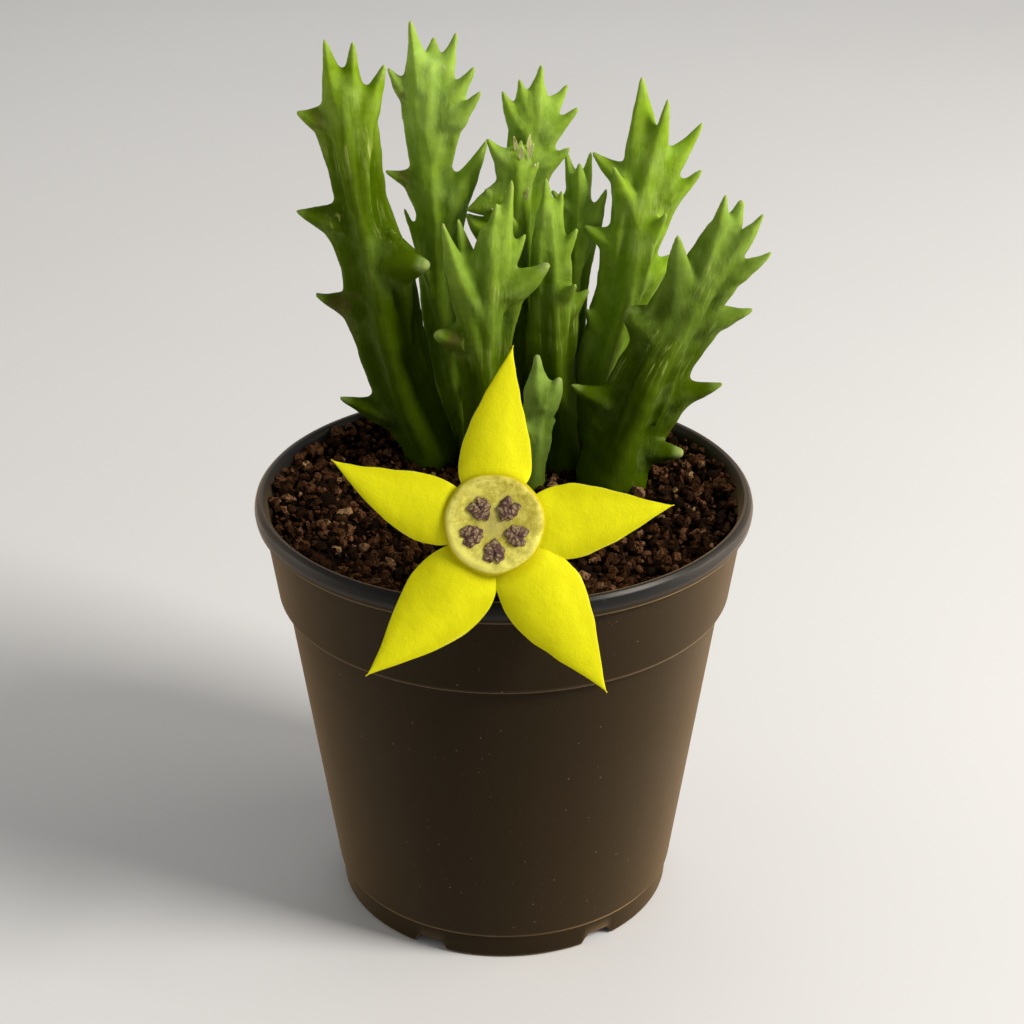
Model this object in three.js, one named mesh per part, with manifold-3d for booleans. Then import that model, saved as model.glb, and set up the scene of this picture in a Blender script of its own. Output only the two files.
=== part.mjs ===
// Potted orbea semota: a clump of four-angled toothed stems in a plastic nursery pot, with one
// yellow five-pointed flower hanging over the front of the rim.
// Millimetres, +Z up, the pot's axis on Z and its underside on z = 0, the flower towards -Y.
import * as THREE from 'three';
import Module from 'manifold-3d';

const wasm = await Module();
wasm.setup();
const { Manifold, Mesh: SolidMesh } = wasm;

// Pot: a 9 cm nursery pot with a rolled lip, a flared collar that ends in a ledge, and a notched
// foot ring. The outside is given from the foot up and over the lip, as [radius, height].
const POT_HEIGHT = 81.4;
const WALL = 1;
const LEDGE_RISE = 0.9;
const POT_SEGMENTS = 36;
const FLOOR_TOP = 4.2;
const FLOOR_UNDERSIDE = 2.4;
const PAD_RADIUS = 9;
const FOOT_NOTCHES = { count: 6, first: -26, width: 5.0, height: 2.2 };
const DRAIN_HOLES = { count: 5, circle: 18, radius: 3 };
const POT_OUTSIDE = [
  [29.6, 0], [30.9, 0], [31.3, 0.5], [31.6, 4.9], [32.1, 5.5], [39.85, 61.6], [40.3, 62],
  [41.1, 62.35], [41.35, 62.9], [43.4, 77.3], [44.3, 77.4], [44.8, 78], [45, 79.3],
  [44.7, 80.6], [44, POT_HEIGHT], [43.3, 81.2], [42.8, 80.3],
];

// Potting mix: granules up to the brim of the collar, with a plain hole for each stem.
const SOIL_LEVEL = 78;
const SOIL_RELIEF = 0.7;
const SOIL_GAP = 0.3;
const ROOT_BOTTOM = 67;
const ROOT_TOP = 79.2;

// Edges that bend the surface by less than this are merged away.
const MERGE = 0.08;

// Finishes: colour, roughness and metalness of each kind of surface.
const FINISHES = {
  plastic: { color: 0x3a332c, roughness: 0.55, metalness: 0 },
  mix: { color: 0x4a3226, roughness: 0.95, metalness: 0 },
  skin: { color: 0x6f9a2a, roughness: 0.5, metalness: 0 },
  stalk: { color: 0x84983c, roughness: 0.5, metalness: 0 },
  petal: { color: 0xe6de24, roughness: 0.6, metalness: 0 },
  disc: { color: 0xc8be58, roughness: 0.4, metalness: 0 },
  lobe: { color: 0x47282a, roughness: 0.45, metalness: 0 },
};

// Stem cross-section: four ribs, with the furrows between them this much shallower than a rib.
const STEM_SIDES = 12;
const FURROW = 0.3;

// Tooth: pairs are for a tooth lying flat and one standing up. It fades from its depth and width
// at the root, by the powers given, to a tip of this radius.
const TOOTH = {
  sides: 5, deep: [6.2, 3.4], wide: [3.5, 3.2], above: [0.8, 1], below: [1.3, 1],
  fadeAbove: 1.05, fadeBelow: [1.25, 1], fadeWide: 0.85, tip: 0.12,
};

// Each stem: rib direction in degrees, the centre line as [x, y, z, rib radius] rows from the
// potting mix up, and its teeth as [height of the root on the axis, tip x, tip y, tip z, size].
const STEMS = [
  {
    name: 'stem_far_left', ribs: 0,
    line: [[-14, 21.8, 79, 5.2], [-17.9, 21.8, 88.8, 5.9], [-20.9, 21.8, 100.6, 6.6],
      [-23, 21.3, 114.3, 6.6], [-25.8, 20.8, 128, 5], [-27.2, 20.3, 139.8, 4.7],
      [-27.6, 19.8, 148.6, 3.2]],
    teeth: [[85.8, -30.9, 19.5, 90.6, 1], [106, -34.8, 21.5, 110.4, 1], [123.6, -37.6, 21, 126.5, 1],
      [142.2, -36.7, 20.1, 145, 0.95], [117.3, -13.4, 11.8, 119.4, 1.3],
      [143.7, -31.2, 20.5, 157.9, 1.3], [143.7, -26.2, 20.3, 157.6, 1.2], [141.8, -20.7, 20, 153.7, 1.2],
      [97.6, -23.6, 33.5, 100.6, 0.95], [117.2, -26.6, 33, 121.2, 0.95], [133.9, -28.6, 31, 137.8, 0.9]],
  },
  {
    name: 'stem_back_left', ribs: 5,
    line: [[-6.3, 27.5, 79, 3.7], [-9.8, 28.5, 90.8, 3.9], [-11.8, 28.8, 104.5, 3.8],
      [-12.4, 28.8, 116.3, 3.7], [-13.1, 28.8, 130, 3.8], [-13.8, 29.1, 142.7, 4.4],
      [-13.4, 29.5, 150.1, 3]],
    teeth: [[143.7, -16.6, 29.5, 159.1, 1.25], [146.7, -12.5, 32, 155.5, 0.8],
      [144.7, -8.4, 31, 156.5, 0.95], [141.8, -5.1, 26.5, 151.5, 1], [138.8, -4, 23.5, 147.8, 0.95],
      [143.2, -20.8, 29, 150.6, 0.8], [129, -21.8, 28.5, 131.6, 0.58],
      [123.6, -3, 26.7, 138, 1.15], [112.5, -18.4, 29, 124.4, 0.55],
      [98.6, -10.8, 37.5, 101.5, 0.8], [118.2, -10.8, 38, 122.1, 0.8], [134.9, -14.3, 38, 139.8, 0.8]],
  },
  {
    name: 'stem_front', ribs: 10,
    line: [[-2.6, 16.2, 79, 4.4], [-3.3, 15.7, 91.5, 4.5], [-3.3, 15.2, 101.5, 4.8],
      [-3, 14.7, 111.3, 4.7], [-2.4, 14.2, 119.2, 3.8], [-1.9, 14.2, 125.1, 2.4]],
    teeth: [[119.7, -1.2, 14, 130.3, 1.15], [119.2, 1.5, 15.5, 134.2, 1.1],
      [117.2, 3.9, 15.5, 124, 0.8], [112.3, 8.1, 12.1, 119.7, 1.05], [106.4, -10.9, 12.5, 127.2, 1.4],
      [111.3, -8.2, 16.5, 126.6, 1], [103.5, -12.7, 12.5, 106, 0.9],
      [105.5, -2, 25, 109.4, 0.85], [90.8, -4.9, 25, 93.7, 0.8]],
  },
  {
    name: 'stem_small_front', ribs: 20,
    line: [[4.8, 9.5, 79, 3], [5.2, 9.5, 86.8, 3.2], [6.3, 9.5, 92.7, 3.1], [7.1, 9.5, 96.6, 2.1]],
    teeth: [[93.2, 6, 9.5, 103.4, 0.95], [92.2, 10.2, 8.5, 99.2, 0.95],
      [87.8, 2.4, 5.1, 91.2, 0.6], [85.8, 9.5, 13, 89.3, 0.6]],
  },
  {
    name: 'stem_back', ribs: 0,
    line: [[1.9, 26.5, 79, 3.8], [2.8, 27.1, 94.7, 3.9], [3.3, 27.3, 107.4, 3.8], [3.2, 28.3, 126.1, 3.3],
      [4.3, 29.3, 134.9, 3.2], [5.1, 30.3, 143.7, 2.2]],
    branch: [[3.1, 26.5, 101.5, 2.2], [2.7, 24.5, 109.4, 2.9], [2, 23.3, 123.1, 3], [2, 23.3, 132.9, 2.8],
      [2, 23.3, 137.3, 1.5]],
    teeth: [[141.3, 6.8, 30.5, 150.9, 0.85], [140.8, 2.8, 29.5, 148.4, 0.75],
      [137.8, -0.3, 29, 146.4, 0.8], [139.3, 11.6, 32, 146.8, 0.8],
      [136.8, 13.5, 28.5, 143.5, 0.85], [131.5, 12, 27, 136.4, 0.8],
      [102.5, 2, 36, 106.4, 0.8], [122.1, 3.3, 37, 126.1, 0.8]],
    branchTeeth: [[134.4, -3.1, 23.3, 139.3, 0.65], [133.9, 3.1, 22.5, 139.2, 0.6],
      [133.4, 5, 24, 139.1, 0.6], [130.5, 6.3, 22, 135.5, 0.6],
      [124.1, -3.2, 22.1, 130, 0.65], [120.2, 1.4, 18.1, 126.5, 0.6],
      [127.4, -6.9, 22.6, 126, 0.8], [118.8, -6.9, 23.6, 125.1, 1.35]],
  },
  {
    name: 'stem_back_slim', ribs: 5,
    line: [[11.4, 28.3, 79, 3.5], [11.9, 28.6, 94.7, 3.6], [12.2, 28.6, 106.4, 3.4],
      [13.4, 28.2, 120.2, 3], [13.8, 28, 130, 2]],
    teeth: [[127.5, 11.3, 28.5, 135.3, 0.65], [127, 15.9, 29, 135.1, 0.6],
      [126.5, 13.7, 25.3, 134.2, 0.6], [123.6, 8.7, 26.9, 128.5, 0.6],
      [118, 18.8, 27.5, 128.6, 0.9], [108.4, 9.8, 35, 112.3, 0.7]],
  },
  {
    name: 'stem_middle', ribs: 15,
    line: [[10.8, 18, 79, 3.7], [9.8, 18.3, 90.8, 3.8], [8.9, 18.5, 104.5, 4.1], [8.4, 18.5, 117.2, 3.8],
      [8.1, 18.5, 127, 2.4]],
    teeth: [[123.1, 7.5, 18.8, 133.4, 0.85], [122.1, 10.4, 19.1, 131, 0.75],
      [107.4, 15.5, 18.5, 112.4, 0.9], [118.2, 13.2, 16.9, 124.6, 0.7],
      [110.4, 13, 13.1, 115.3, 0.7]],
  },
  {
    name: 'stem_back_right', ribs: 5,
    line: [[17.6, 23, 79, 4.4], [18.4, 24.5, 92.7, 5], [20.5, 25.1, 102.5, 5.3],
      [22.5, 25.2, 111.3, 5.1], [25, 25.2, 126.1, 4.4], [26.6, 25.2, 136.8, 3]],
    teeth: [[131.9, 24.6, 26.5, 149.7, 1.35], [131, 29.2, 23, 146.6, 1.05],
      [130.5, 35.8, 26.5, 141.3, 1], [125.6, 35.8, 23.5, 133.4, 0.95],
      [129.5, 15.9, 26.1, 136, 0.85], [125.1, 19.6, 20.5, 134.9, 0.8],
      [117.7, 14.6, 24.4, 122.7, 0.85], [118.7, 29.3, 19.5, 126.5, 0.85],
      [110.9, 31.8, 26, 116.6, 1.25], [100.1, 15.2, 23.5, 106.8, 0.75],
      [105.5, 24.1, 35, 109.4, 0.85], [123.1, 27.1, 35, 128, 0.8]],
  },
  {
    name: 'stem_right', ribs: 0,
    line: [[20, 11.2, 79, 6.6], [23.4, 11.7, 89.3, 7], [27.4, 12.2, 99.6, 6.8],
      [32.5, 12.7, 109.4, 5.1], [35.9, 12.7, 118.2, 4.1], [38.6, 12.7, 126.1, 2.8]],
    teeth: [[108.4, 30.7, 10, 125.8, 1.45], [107.4, 44.9, 11.5, 111.2, 0.95],
      [93.2, 39.9, 9.5, 97.6, 1], [83.4, 32.9, 7, 84.9, 0.6], [105, 22.3, 13.5, 110.6, 1.35],
      [91.7, 12.2, 10.5, 97, 1.05], [118.2, 39.1, 12.3, 132.5, 1.25], [118.7, 42.2, 14, 130.9, 1],
      [118.2, 45.7, 10.5, 129.5, 0.85], [115.3, 47.4, 9, 122.9, 0.8],
      [96.6, 29.6, 23.5, 101, 0.95], [113.3, 36, 23, 118.2, 0.85]],
  },
];

// Flower: the middle of its face, the tilt of the face back from upright, and the petals as
// [clock angle of the root, clock angle of the tip, length, half width, shoulder distance].
const FLOWER_CENTRE = [-1.4, -42, 94.4];
const FLOWER_TILT = 26.5;
const PETALS = [[-1, 6, 29.3, 6, 9.8], [88, 83.5, 29.3, 6.1, 12.5], [144.5, 146, 32.6, 6.7, 14.5],
  [210.5, 220.5, 32, 6.8, 14], [281, 292, 28.4, 5.5, 11.5]];
const PETAL_ROOT = 4.5;
const PETAL_THICKNESS = 0.9;
const PETAL_TIP_THICKNESS = 0.6;
const PLATE_RADIUS = 8;
const DISC_RADIUS = 8.2;
const LOBE_CIRCLE = 3.7;
const LOBE_COUNT = 5;

// Flower stalk: from the foot of the front stem, over the potting mix, up to the flower's back.
const STALK_LINE = [[-2.6, 13.9, 84], [-2.5, 8, 86], [-2.3, -3, 89.4], [-2, -16, 91.2],
  [-1.7, -28, 91], [-1.5, -36, 91.8], [-1.4, -41.1, 93.95]];
const STALK_RADIUS = 1.15;
const CALYX_RADIUS = 2.3;
const SEPAL_LENGTH = 4.2;
const PLUG_GAP = 0.3;

// Even pseudo-random numbers from 0 to 1, the same on every run.
function seeded(seed) {
  let state = seed;
  return () => {
    state = (state * 1664525 + 1013904223) % 4294967296;
    return state / 4294967296;
  };
}

function lerp(a, b, t) {
  return a + (b - a) * t;
}

// Closes a stack of rings, each with the same number of points, into one outward-facing solid.
function loft(rings) {
  const count = rings[0].length;
  const points = rings.flat();
  const faces = [];
  for (let i = 0; i + 1 < rings.length; i += 1) {
    for (let j = 0; j < count; j += 1) {
      const a = i * count + j;
      const b = i * count + ((j + 1) % count);
      faces.push(a, b, b + count, a, b + count, a + count);
    }
  }
  const addCap = (ring, flip) => {
    const middle = rings[ring].reduce((sum, p) => sum.add(p), new THREE.Vector3());
    points.push(middle.divideScalar(count));
    for (let j = 0; j < count; j += 1) {
      const a = ring * count + j;
      const b = ring * count + ((j + 1) % count);
      faces.push(...(flip ? [b, a, points.length - 1] : [a, b, points.length - 1]));
    }
  };
  addCap(0, true);
  addCap(rings.length - 1, false);
  return solid(points, faces);
}

// Turns points and triangles into a solid, turned inside out first if its volume is negative.
function solid(points, faces) {
  let volume = 0;
  const cross = new THREE.Vector3();
  for (let i = 0; i < faces.length; i += 3) {
    cross.crossVectors(points[faces[i + 1]], points[faces[i + 2]]);
    volume += points[faces[i]].dot(cross);
  }
  const wound = [...faces];
  if (volume < 0) {
    for (let i = 0; i < wound.length; i += 3) {
      [wound[i + 1], wound[i + 2]] = [wound[i + 2], wound[i + 1]];
    }
  }
  return new Manifold(new SolidMesh({
    numProp: 3,
    vertProperties: Float32Array.from(points.flatMap((p) => [p.x, p.y, p.z])),
    triVerts: Uint32Array.from(wound),
  }));
}

function makeMesh(name, body, finish) {
  const data = body.simplify(MERGE).getMesh();
  const geometry = new THREE.BufferGeometry();
  const positions = new Float32Array(data.numVert * 3);
  for (let i = 0; i < data.numVert; i += 1) {
    for (let k = 0; k < 3; k += 1) {
      positions[i * 3 + k] = data.vertProperties[i * data.numProp + k];
    }
  }
  geometry.setAttribute('position', new THREE.BufferAttribute(positions, 3));
  geometry.setIndex([...data.triVerts]);
  const mesh = new THREE.Mesh(geometry, new THREE.MeshStandardMaterial(FINISHES[finish]));
  mesh.name = name;
  return mesh;
}

// A solid of revolution about Z from a closed outline of [radius, height] points.
function turned(outline, segments) {
  const points = [];
  const faces = [];
  const index = outline.map(([radius, height]) => {
    const first = points.length;
    const copies = radius === 0 ? 1 : segments;
    for (let j = 0; j < copies; j += 1) {
      const angle = (j / segments) * Math.PI * 2;
      points.push(new THREE.Vector3(radius * Math.cos(angle), radius * Math.sin(angle), height));
    }
    return (j) => first + (copies === 1 ? 0 : j % segments);
  });
  outline.forEach((_, i) => {
    const low = index[i];
    const high = index[(i + 1) % outline.length];
    for (let j = 0; j < segments; j += 1) {
      const quad = [low(j), low(j + 1), high(j + 1), high(j)];
      if (quad[0] !== quad[1]) faces.push(quad[0], quad[1], quad[2]);
      if (quad[2] !== quad[3]) faces.push(quad[0], quad[2], quad[3]);
    }
  });
  return solid(points, faces);
}

// A straight upright post with flat ends.
function post(x, y, bottom, top, radius, sides) {
  const ring = (z) => Array.from({ length: sides }, (_, j) => {
    const angle = (j / sides) * Math.PI * 2;
    return new THREE.Vector3(x + radius * Math.cos(angle), y + radius * Math.sin(angle), z);
  });
  return loft([ring(bottom), ring(top)]);
}

// The inside of the pot wall: its outside from the body up, moved in by the wall thickness and,
// above the foot, up so that the ledge keeps its thickness too.
function insideOutline(inset) {
  const [foot, ...wall] = POT_OUTSIDE.slice(4, 10);
  return [
    [foot[0] - WALL - inset, foot[1]],
    ...wall.map(([r, z]) => [r - WALL - inset, z + LEDGE_RISE + inset]),
  ];
}

function makePot() {
  const inside = insideOutline(0);
  const outline = [
    ...POT_OUTSIDE,
    [inside.at(-1)[0] + 0.1, 79.2],
    ...inside.slice(1).reverse(),
    [30.9, FLOOR_TOP + 0.4], [30.4, FLOOR_TOP],
    [0, FLOOR_TOP],
    [0, 0], [PAD_RADIUS, 0], [PAD_RADIUS + 0.8, FLOOR_UNDERSIDE],
    [29.3, FLOOR_UNDERSIDE],
  ];
  let pot = turned(outline, POT_SEGMENTS);
  for (let i = 0; i < FOOT_NOTCHES.count; i += 1) {
    const azimuth = THREE.MathUtils.degToRad(FOOT_NOTCHES.first + (i * 360) / FOOT_NOTCHES.count);
    pot = pot.subtract(footNotch(azimuth));
  }
  for (let i = 0; i < DRAIN_HOLES.count; i += 1) {
    const angle = (i / DRAIN_HOLES.count) * Math.PI * 2 + Math.PI / 2;
    const x = DRAIN_HOLES.circle * Math.cos(angle);
    const y = DRAIN_HOLES.circle * Math.sin(angle);
    pot = pot.subtract(post(x, y, -1, FLOOR_TOP + 1, DRAIN_HOLES.radius, 12));
  }
  return pot;
}

// A trapezoid slot through the foot ring, wider at the table than at its top.
function footNotch(azimuth) {
  const { width, height } = FOOT_NOTCHES;
  const out = new THREE.Vector3(Math.sin(azimuth), -Math.cos(azimuth), 0);
  const side = new THREE.Vector3(Math.cos(azimuth), Math.sin(azimuth), 0);
  const frame = (radius) => [[-0.72, -1], [0.72, -1], [0.5, height], [-0.5, height]].map(
    ([u, z]) => out.clone().multiplyScalar(radius).addScaledVector(side, u * width).setZ(z),
  );
  return loft([frame(28), frame(34)]);
}

// Potting mix: a filled plug with a lumpy top and one plain hole per stem.
function makeSoil() {
  const random = seeded(7);
  const wall = insideOutline(SOIL_GAP);
  const edge = wall.at(-1)[0] - 0.35;
  const rings = [];
  const lowRing = (radius, height) => Array.from({ length: POT_SEGMENTS }, (_, j) => {
    const angle = (j / POT_SEGMENTS) * Math.PI * 2;
    return new THREE.Vector3(radius * Math.cos(angle), radius * Math.sin(angle), height);
  });
  const floor = FLOOR_TOP + SOIL_GAP;
  rings.push(lowRing(29.9, floor), lowRing(30.6, floor + 0.4));
  wall.slice(1, -1).forEach(([r, z]) => rings.push(lowRing(r, z)));
  rings.push(lowRing(edge, SOIL_LEVEL - 0.8));
  const levels = 7;
  for (let i = 0; i < levels; i += 1) {
    const radius = lerp(edge - 0.6, 2.4, i / (levels - 1));
    rings.push(lowRing(radius, SOIL_LEVEL).map((p) => p.setZ(p.z + (random() * 2 - 1) * SOIL_RELIEF)));
  }
  let soil = loft(rings);
  for (const stem of STEMS) {
    const [x, y, , radius] = stem.line[0];
    soil = soil.subtract(post(x, y, ROOT_BOTTOM - 0.5, SOIL_LEVEL + 3, radius + 0.5, 14));
  }
  return soil;
}

// A point on a smooth line through the rows, at a fractional row number.
function along(rows, at) {
  const last = rows.length - 1;
  const i = Math.min(Math.floor(at), last - 1);
  const t = at - i;
  const row = (k) => rows[Math.min(Math.max(k, 0), last)];
  return rows[0].map((_, c) => {
    const [a, b, d, e] = [row(i - 1)[c], row(i)[c], row(i + 1)[c], row(i + 2)[c]];
    const cubic = (3 * b - a - 3 * d + e) * t + (2 * a - 5 * b + 4 * d - e);
    return b + 0.5 * t * ((d - a) + t * cubic);
  });
}

// The axis point of a stem at a height.
function axisAt(rows, height) {
  let i = 0;
  while (i < rows.length - 2 && rows[i + 1][2] < height) i += 1;
  const t = THREE.MathUtils.clamp((height - rows[i][2]) / (rows[i + 1][2] - rows[i][2]), 0, 1);
  return new THREE.Vector3(
    lerp(rows[i][0], rows[i + 1][0], t), lerp(rows[i][1], rows[i + 1][1], t), height,
  );
}

// One ribbed ring across a stem's centre line.
function stemRing(centre, tangent, radius, ribs, furrow) {
  const across = new THREE.Vector3(1, 0, 0);
  across.addScaledVector(tangent, -tangent.x).normalize();
  const deep = new THREE.Vector3().crossVectors(tangent, across);
  return Array.from({ length: STEM_SIDES }, (_, j) => {
    const angle = (j / STEM_SIDES) * Math.PI * 2;
    const r = radius * (1 - furrow * Math.sin(2 * angle) ** 2);
    const turn = angle + THREE.MathUtils.degToRad(ribs);
    return centre.clone()
      .addScaledVector(across, r * Math.cos(turn))
      .addScaledVector(deep, r * Math.sin(turn));
  });
}

// The ribbed body of a stem or branch along its centre line, closed by a rounded top.
function stemBody(rows, ribs, rooted) {
  const rings = [];
  const upright = new THREE.Vector3(0, 0, 1);
  const [x, y, , foot] = rows[0];
  if (rooted) {
    rings.push(stemRing(new THREE.Vector3(x, y, ROOT_BOTTOM), upright, foot, ribs, 0));
    rings.push(stemRing(new THREE.Vector3(x, y, ROOT_TOP), upright, foot, ribs, 0));
  }
  const steps = (rows.length - 1) * 2;
  for (let i = rooted ? 1 : 0; i <= steps; i += 1) {
    const at = i / 2;
    const [cx, cy, cz, radius] = along(rows, at);
    const next = along(rows, Math.min(at + 0.1, rows.length - 1));
    const back = along(rows, Math.max(at - 0.1, 0));
    const tangent = new THREE.Vector3(next[0] - back[0], next[1] - back[1], next[2] - back[2]);
    const furrow = FURROW * Math.min(1, i / 2);
    rings.push(stemRing(new THREE.Vector3(cx, cy, cz), tangent.normalize(), radius, ribs, furrow));
  }
  const end = rows.at(-1);
  const cap = new THREE.Vector3(end[0], end[1], end[2] + end[3] * 0.55);
  rings.push(stemRing(cap, upright, end[3] * 0.5, ribs, 0));
  return loft(rings);
}

// One tooth: a curved horn from the stem's axis to its tip. Low teeth stand out sideways and
// are deep below, so they run down into a rib; teeth of the crown stand up and are round.
function tooth(rows, [height, tipX, tipY, tipZ, size]) {
  const root = axisAt(rows, height);
  const tip = new THREE.Vector3(tipX, tipY, tipZ);
  const reach = Math.hypot(tip.x - root.x, tip.y - root.y);
  const lift = Math.atan2(tip.z - root.z, reach);
  const bend = new THREE.Vector3(
    lerp(root.x, tip.x, 0.6), lerp(root.y, tip.y, 0.6), lerp(root.z, tip.z, 0.3),
  );
  const curve = new THREE.QuadraticBezierCurve3(root, bend, tip);
  const side = new THREE.Vector3(root.y - tip.y, tip.x - root.x, 0).normalize();
  const pick = ([flat, upright]) => lerp(flat, upright, Math.sin(lift));
  const deep = pick(TOOTH.deep) * size;
  const wide = pick(TOOTH.wide) * size;
  const rings = [0.02, 0.46, 0.76, 1].map((t) => {
    const centre = curve.getPoint(t);
    const tangent = curve.getTangent(t);
    const up = new THREE.Vector3().crossVectors(side, tangent).normalize();
    const above = pick(TOOTH.above) * deep * (1 - t) ** TOOTH.fadeAbove + TOOTH.tip;
    const below = pick(TOOTH.below) * deep * (1 - t) ** pick(TOOTH.fadeBelow) + TOOTH.tip;
    const halfWide = wide * (1 - t) ** TOOTH.fadeWide + TOOTH.tip;
    return Array.from({ length: TOOTH.sides }, (_, j) => {
      const angle = (j / TOOTH.sides) * Math.PI * 2;
      const rise = -Math.cos(angle);
      return centre.clone()
        .addScaledVector(up, (rise > 0 ? above / 0.81 : below) * rise)
        .addScaledVector(side, halfWide * Math.sin(angle));
    });
  });
  return loft(rings);
}

function makeStem(stem) {
  let body = stemBody(stem.line, stem.ribs, true);
  stem.teeth.forEach((row) => { body = body.add(tooth(stem.line, row)); });
  if (stem.branch) {
    body = body.add(stemBody(stem.branch, stem.ribs + 20, false));
    stem.branchTeeth.forEach((row) => { body = body.add(tooth(stem.branch, row)); });
  }
  return body;
}

// The flower's own frame: x to its right, y up its face, z out of its face.
function flowerFrame() {
  const tilt = THREE.MathUtils.degToRad(FLOWER_TILT);
  const right = new THREE.Vector3(1, 0, 0);
  const up = new THREE.Vector3(0, Math.sin(tilt), Math.cos(tilt));
  const out = new THREE.Vector3(0, -Math.cos(tilt), Math.sin(tilt));
  return new THREE.Matrix4().makeBasis(right, up, out).setPosition(...FLOWER_CENTRE);
}

function placeOnFlower(body) {
  return body.transform([...flowerFrame().elements]);
}

// Half the width of a petal at a distance from the flower's middle.
function petalHalfWidth(distance, length, widest, shoulder) {
  if (distance <= shoulder) {
    const t = (distance - PETAL_ROOT) / (shoulder - PETAL_ROOT);
    return lerp(3.4, widest, 1 - (1 - t) ** 2.2);
  }
  const t = Math.min((distance - shoulder) / (length - shoulder), 1);
  return Math.max(widest * (1 - t ** 1.5) ** 1.25, 0.14);
}

// One petal: a tapering blade, arched across with its edges folded back, slightly nodding.
function makePetal([rootClock, tipClock, length, widest, shoulder]) {
  const rings = [];
  const lengthwise = 7;
  for (let i = 0; i <= lengthwise; i += 1) {
    const along01 = 1 - (1 - i / lengthwise) ** 1.15;
    const distance = lerp(PETAL_ROOT, length, along01);
    const angle = THREE.MathUtils.degToRad(90 - lerp(rootClock, tipClock, along01));
    const half = petalHalfWidth(distance, length, widest, shoulder);
    const thick = lerp(PETAL_THICKNESS, PETAL_TIP_THICKNESS, i / lengthwise) / 2;
    const nod = -0.0022 * (distance - 8.4) ** 2;
    const ring = [-1, -0.55, 0, 0.55, 1, 0.55, 0, -0.55].map((v, k) => {
      const edge = Math.abs(v) === 1 ? 0 : 1;
      const face = (k < 4 ? 1 : -1) * thick * edge;
      const fold = -0.022 * (v * half) ** 2;
      return new THREE.Vector3(distance, v * half, nod + fold + face)
        .applyAxisAngle(new THREE.Vector3(0, 0, 1), angle);
    });
    rings.push(ring);
  }
  return loft(rings);
}

// Corolla: a round plate with five petals grown together at their shoulders.
function makeCorolla() {
  let corolla = turned([[0, -0.5], [7.4, -0.5], [PLATE_RADIUS, 0], [7.4, 0.5], [0, 0.5]], 30);
  PETALS.forEach((petal) => { corolla = corolla.add(makePetal(petal)); });
  return placeOnFlower(corolla);
}

// The raised, rolled-edged disc in the middle of the flower.
function makeDisc() {
  return placeOnFlower(turned([
    [0, 0.7], [DISC_RADIUS - 0.7, 0.7], [DISC_RADIUS, 1.2], [DISC_RADIUS - 0.2, 1.8],
    [DISC_RADIUS - 1, 2.1], [6, 1.85], [0, 1.75],
  ], 30));
}

// One dark lobe of the corona, a low oval cushion on the disc.
function makeLobe(index) {
  const angle = THREE.MathUtils.degToRad(90 - (36 + (index * 360) / LOBE_COUNT));
  const ring = (scale, height) => Array.from({ length: 8 }, (_, j) => {
    const turn = (j / 8) * Math.PI * 2;
    const u = LOBE_CIRCLE + 1.75 * scale * Math.cos(turn);
    const v = 1.45 * scale * Math.sin(turn);
    return new THREE.Vector3(u, v, height).applyAxisAngle(new THREE.Vector3(0, 0, 1), angle);
  });
  return placeOnFlower(loft([ring(0.9, 2.0), ring(1, 2.3), ring(0.6, 2.75)]));
}

// A round tube along the flower stalk, thicker where it meets the flower.
function stalkTube(extra, points, last) {
  const curve = new THREE.CatmullRomCurve3(points.map((p) => new THREE.Vector3(...p)));
  const side = new THREE.Vector3(1, 0, 0);
  const steps = 12;
  const rings = [];
  for (let i = 0; i <= steps * last; i += 1) {
    const t = i / steps;
    const tangent = curve.getTangentAt(t);
    const up = new THREE.Vector3().crossVectors(tangent, side).normalize();
    const swell = Math.max(0, (t - 0.85) / 0.15);
    const radius = lerp(STALK_RADIUS, CALYX_RADIUS, swell ** 1.5) + extra;
    rings.push(Array.from({ length: 8 }, (_, j) => {
      const angle = (j / 8) * Math.PI * 2;
      return curve.getPointAt(t)
        .addScaledVector(side, radius * Math.cos(angle))
        .addScaledVector(up, radius * Math.sin(angle));
    }));
  }
  return loft(rings);
}

// The five small green sepals, flat behind the notches between the petals.
function makeSepal(index) {
  const angle = THREE.MathUtils.degToRad(90 - (36 + index * 72));
  const ring = (distance, half, height) => [[-half, 0], [0, 0.3], [half, 0], [0, -0.3]].map(
    ([v, z]) => new THREE.Vector3(distance, v, height + z)
      .applyAxisAngle(new THREE.Vector3(0, 0, 1), angle),
  );
  return placeOnFlower(loft([
    ring(0.6, 1.1, -1.7), ring(SEPAL_LENGTH * 0.6, 1, -1.75), ring(SEPAL_LENGTH + 0.8, 0.12, -1.9),
  ]));
}

// The hole in the front stem that takes the foot of the stalk.
function stalkSocket() {
  const [foot, next] = STALK_LINE;
  const deeper = foot.map((value, k) => value + (value - next[k]) * 0.06);
  return stalkTube(PLUG_GAP, [deeper, ...STALK_LINE.slice(1)], 0.5);
}

function makeStalk() {
  let stalk = stalkTube(0, STALK_LINE, 1);
  for (let i = 0; i < 5; i += 1) stalk = stalk.add(makeSepal(i));
  return stalk;
}

const group = new THREE.Group();
group.name = 'potted_orbea_semota';
group.add(makeMesh('pot', makePot(), 'plastic'));
group.add(makeMesh('soil', makeSoil(), 'mix'));
STEMS.forEach((stem) => {
  let body = makeStem(stem);
  if (stem.name === 'stem_front') body = body.subtract(stalkSocket());
  group.add(makeMesh(stem.name, body, 'skin'));
});
group.add(makeMesh('flower_stalk', makeStalk(), 'stalk'));
group.add(makeMesh('flower_corolla', makeCorolla(), 'petal'));
group.add(makeMesh('flower_disc', makeDisc(), 'disc'));
for (let i = 0; i < LOBE_COUNT; i += 1) {
  group.add(makeMesh(`corona_lobe_${i + 1}`, makeLobe(i), 'lobe'));
}

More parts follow.
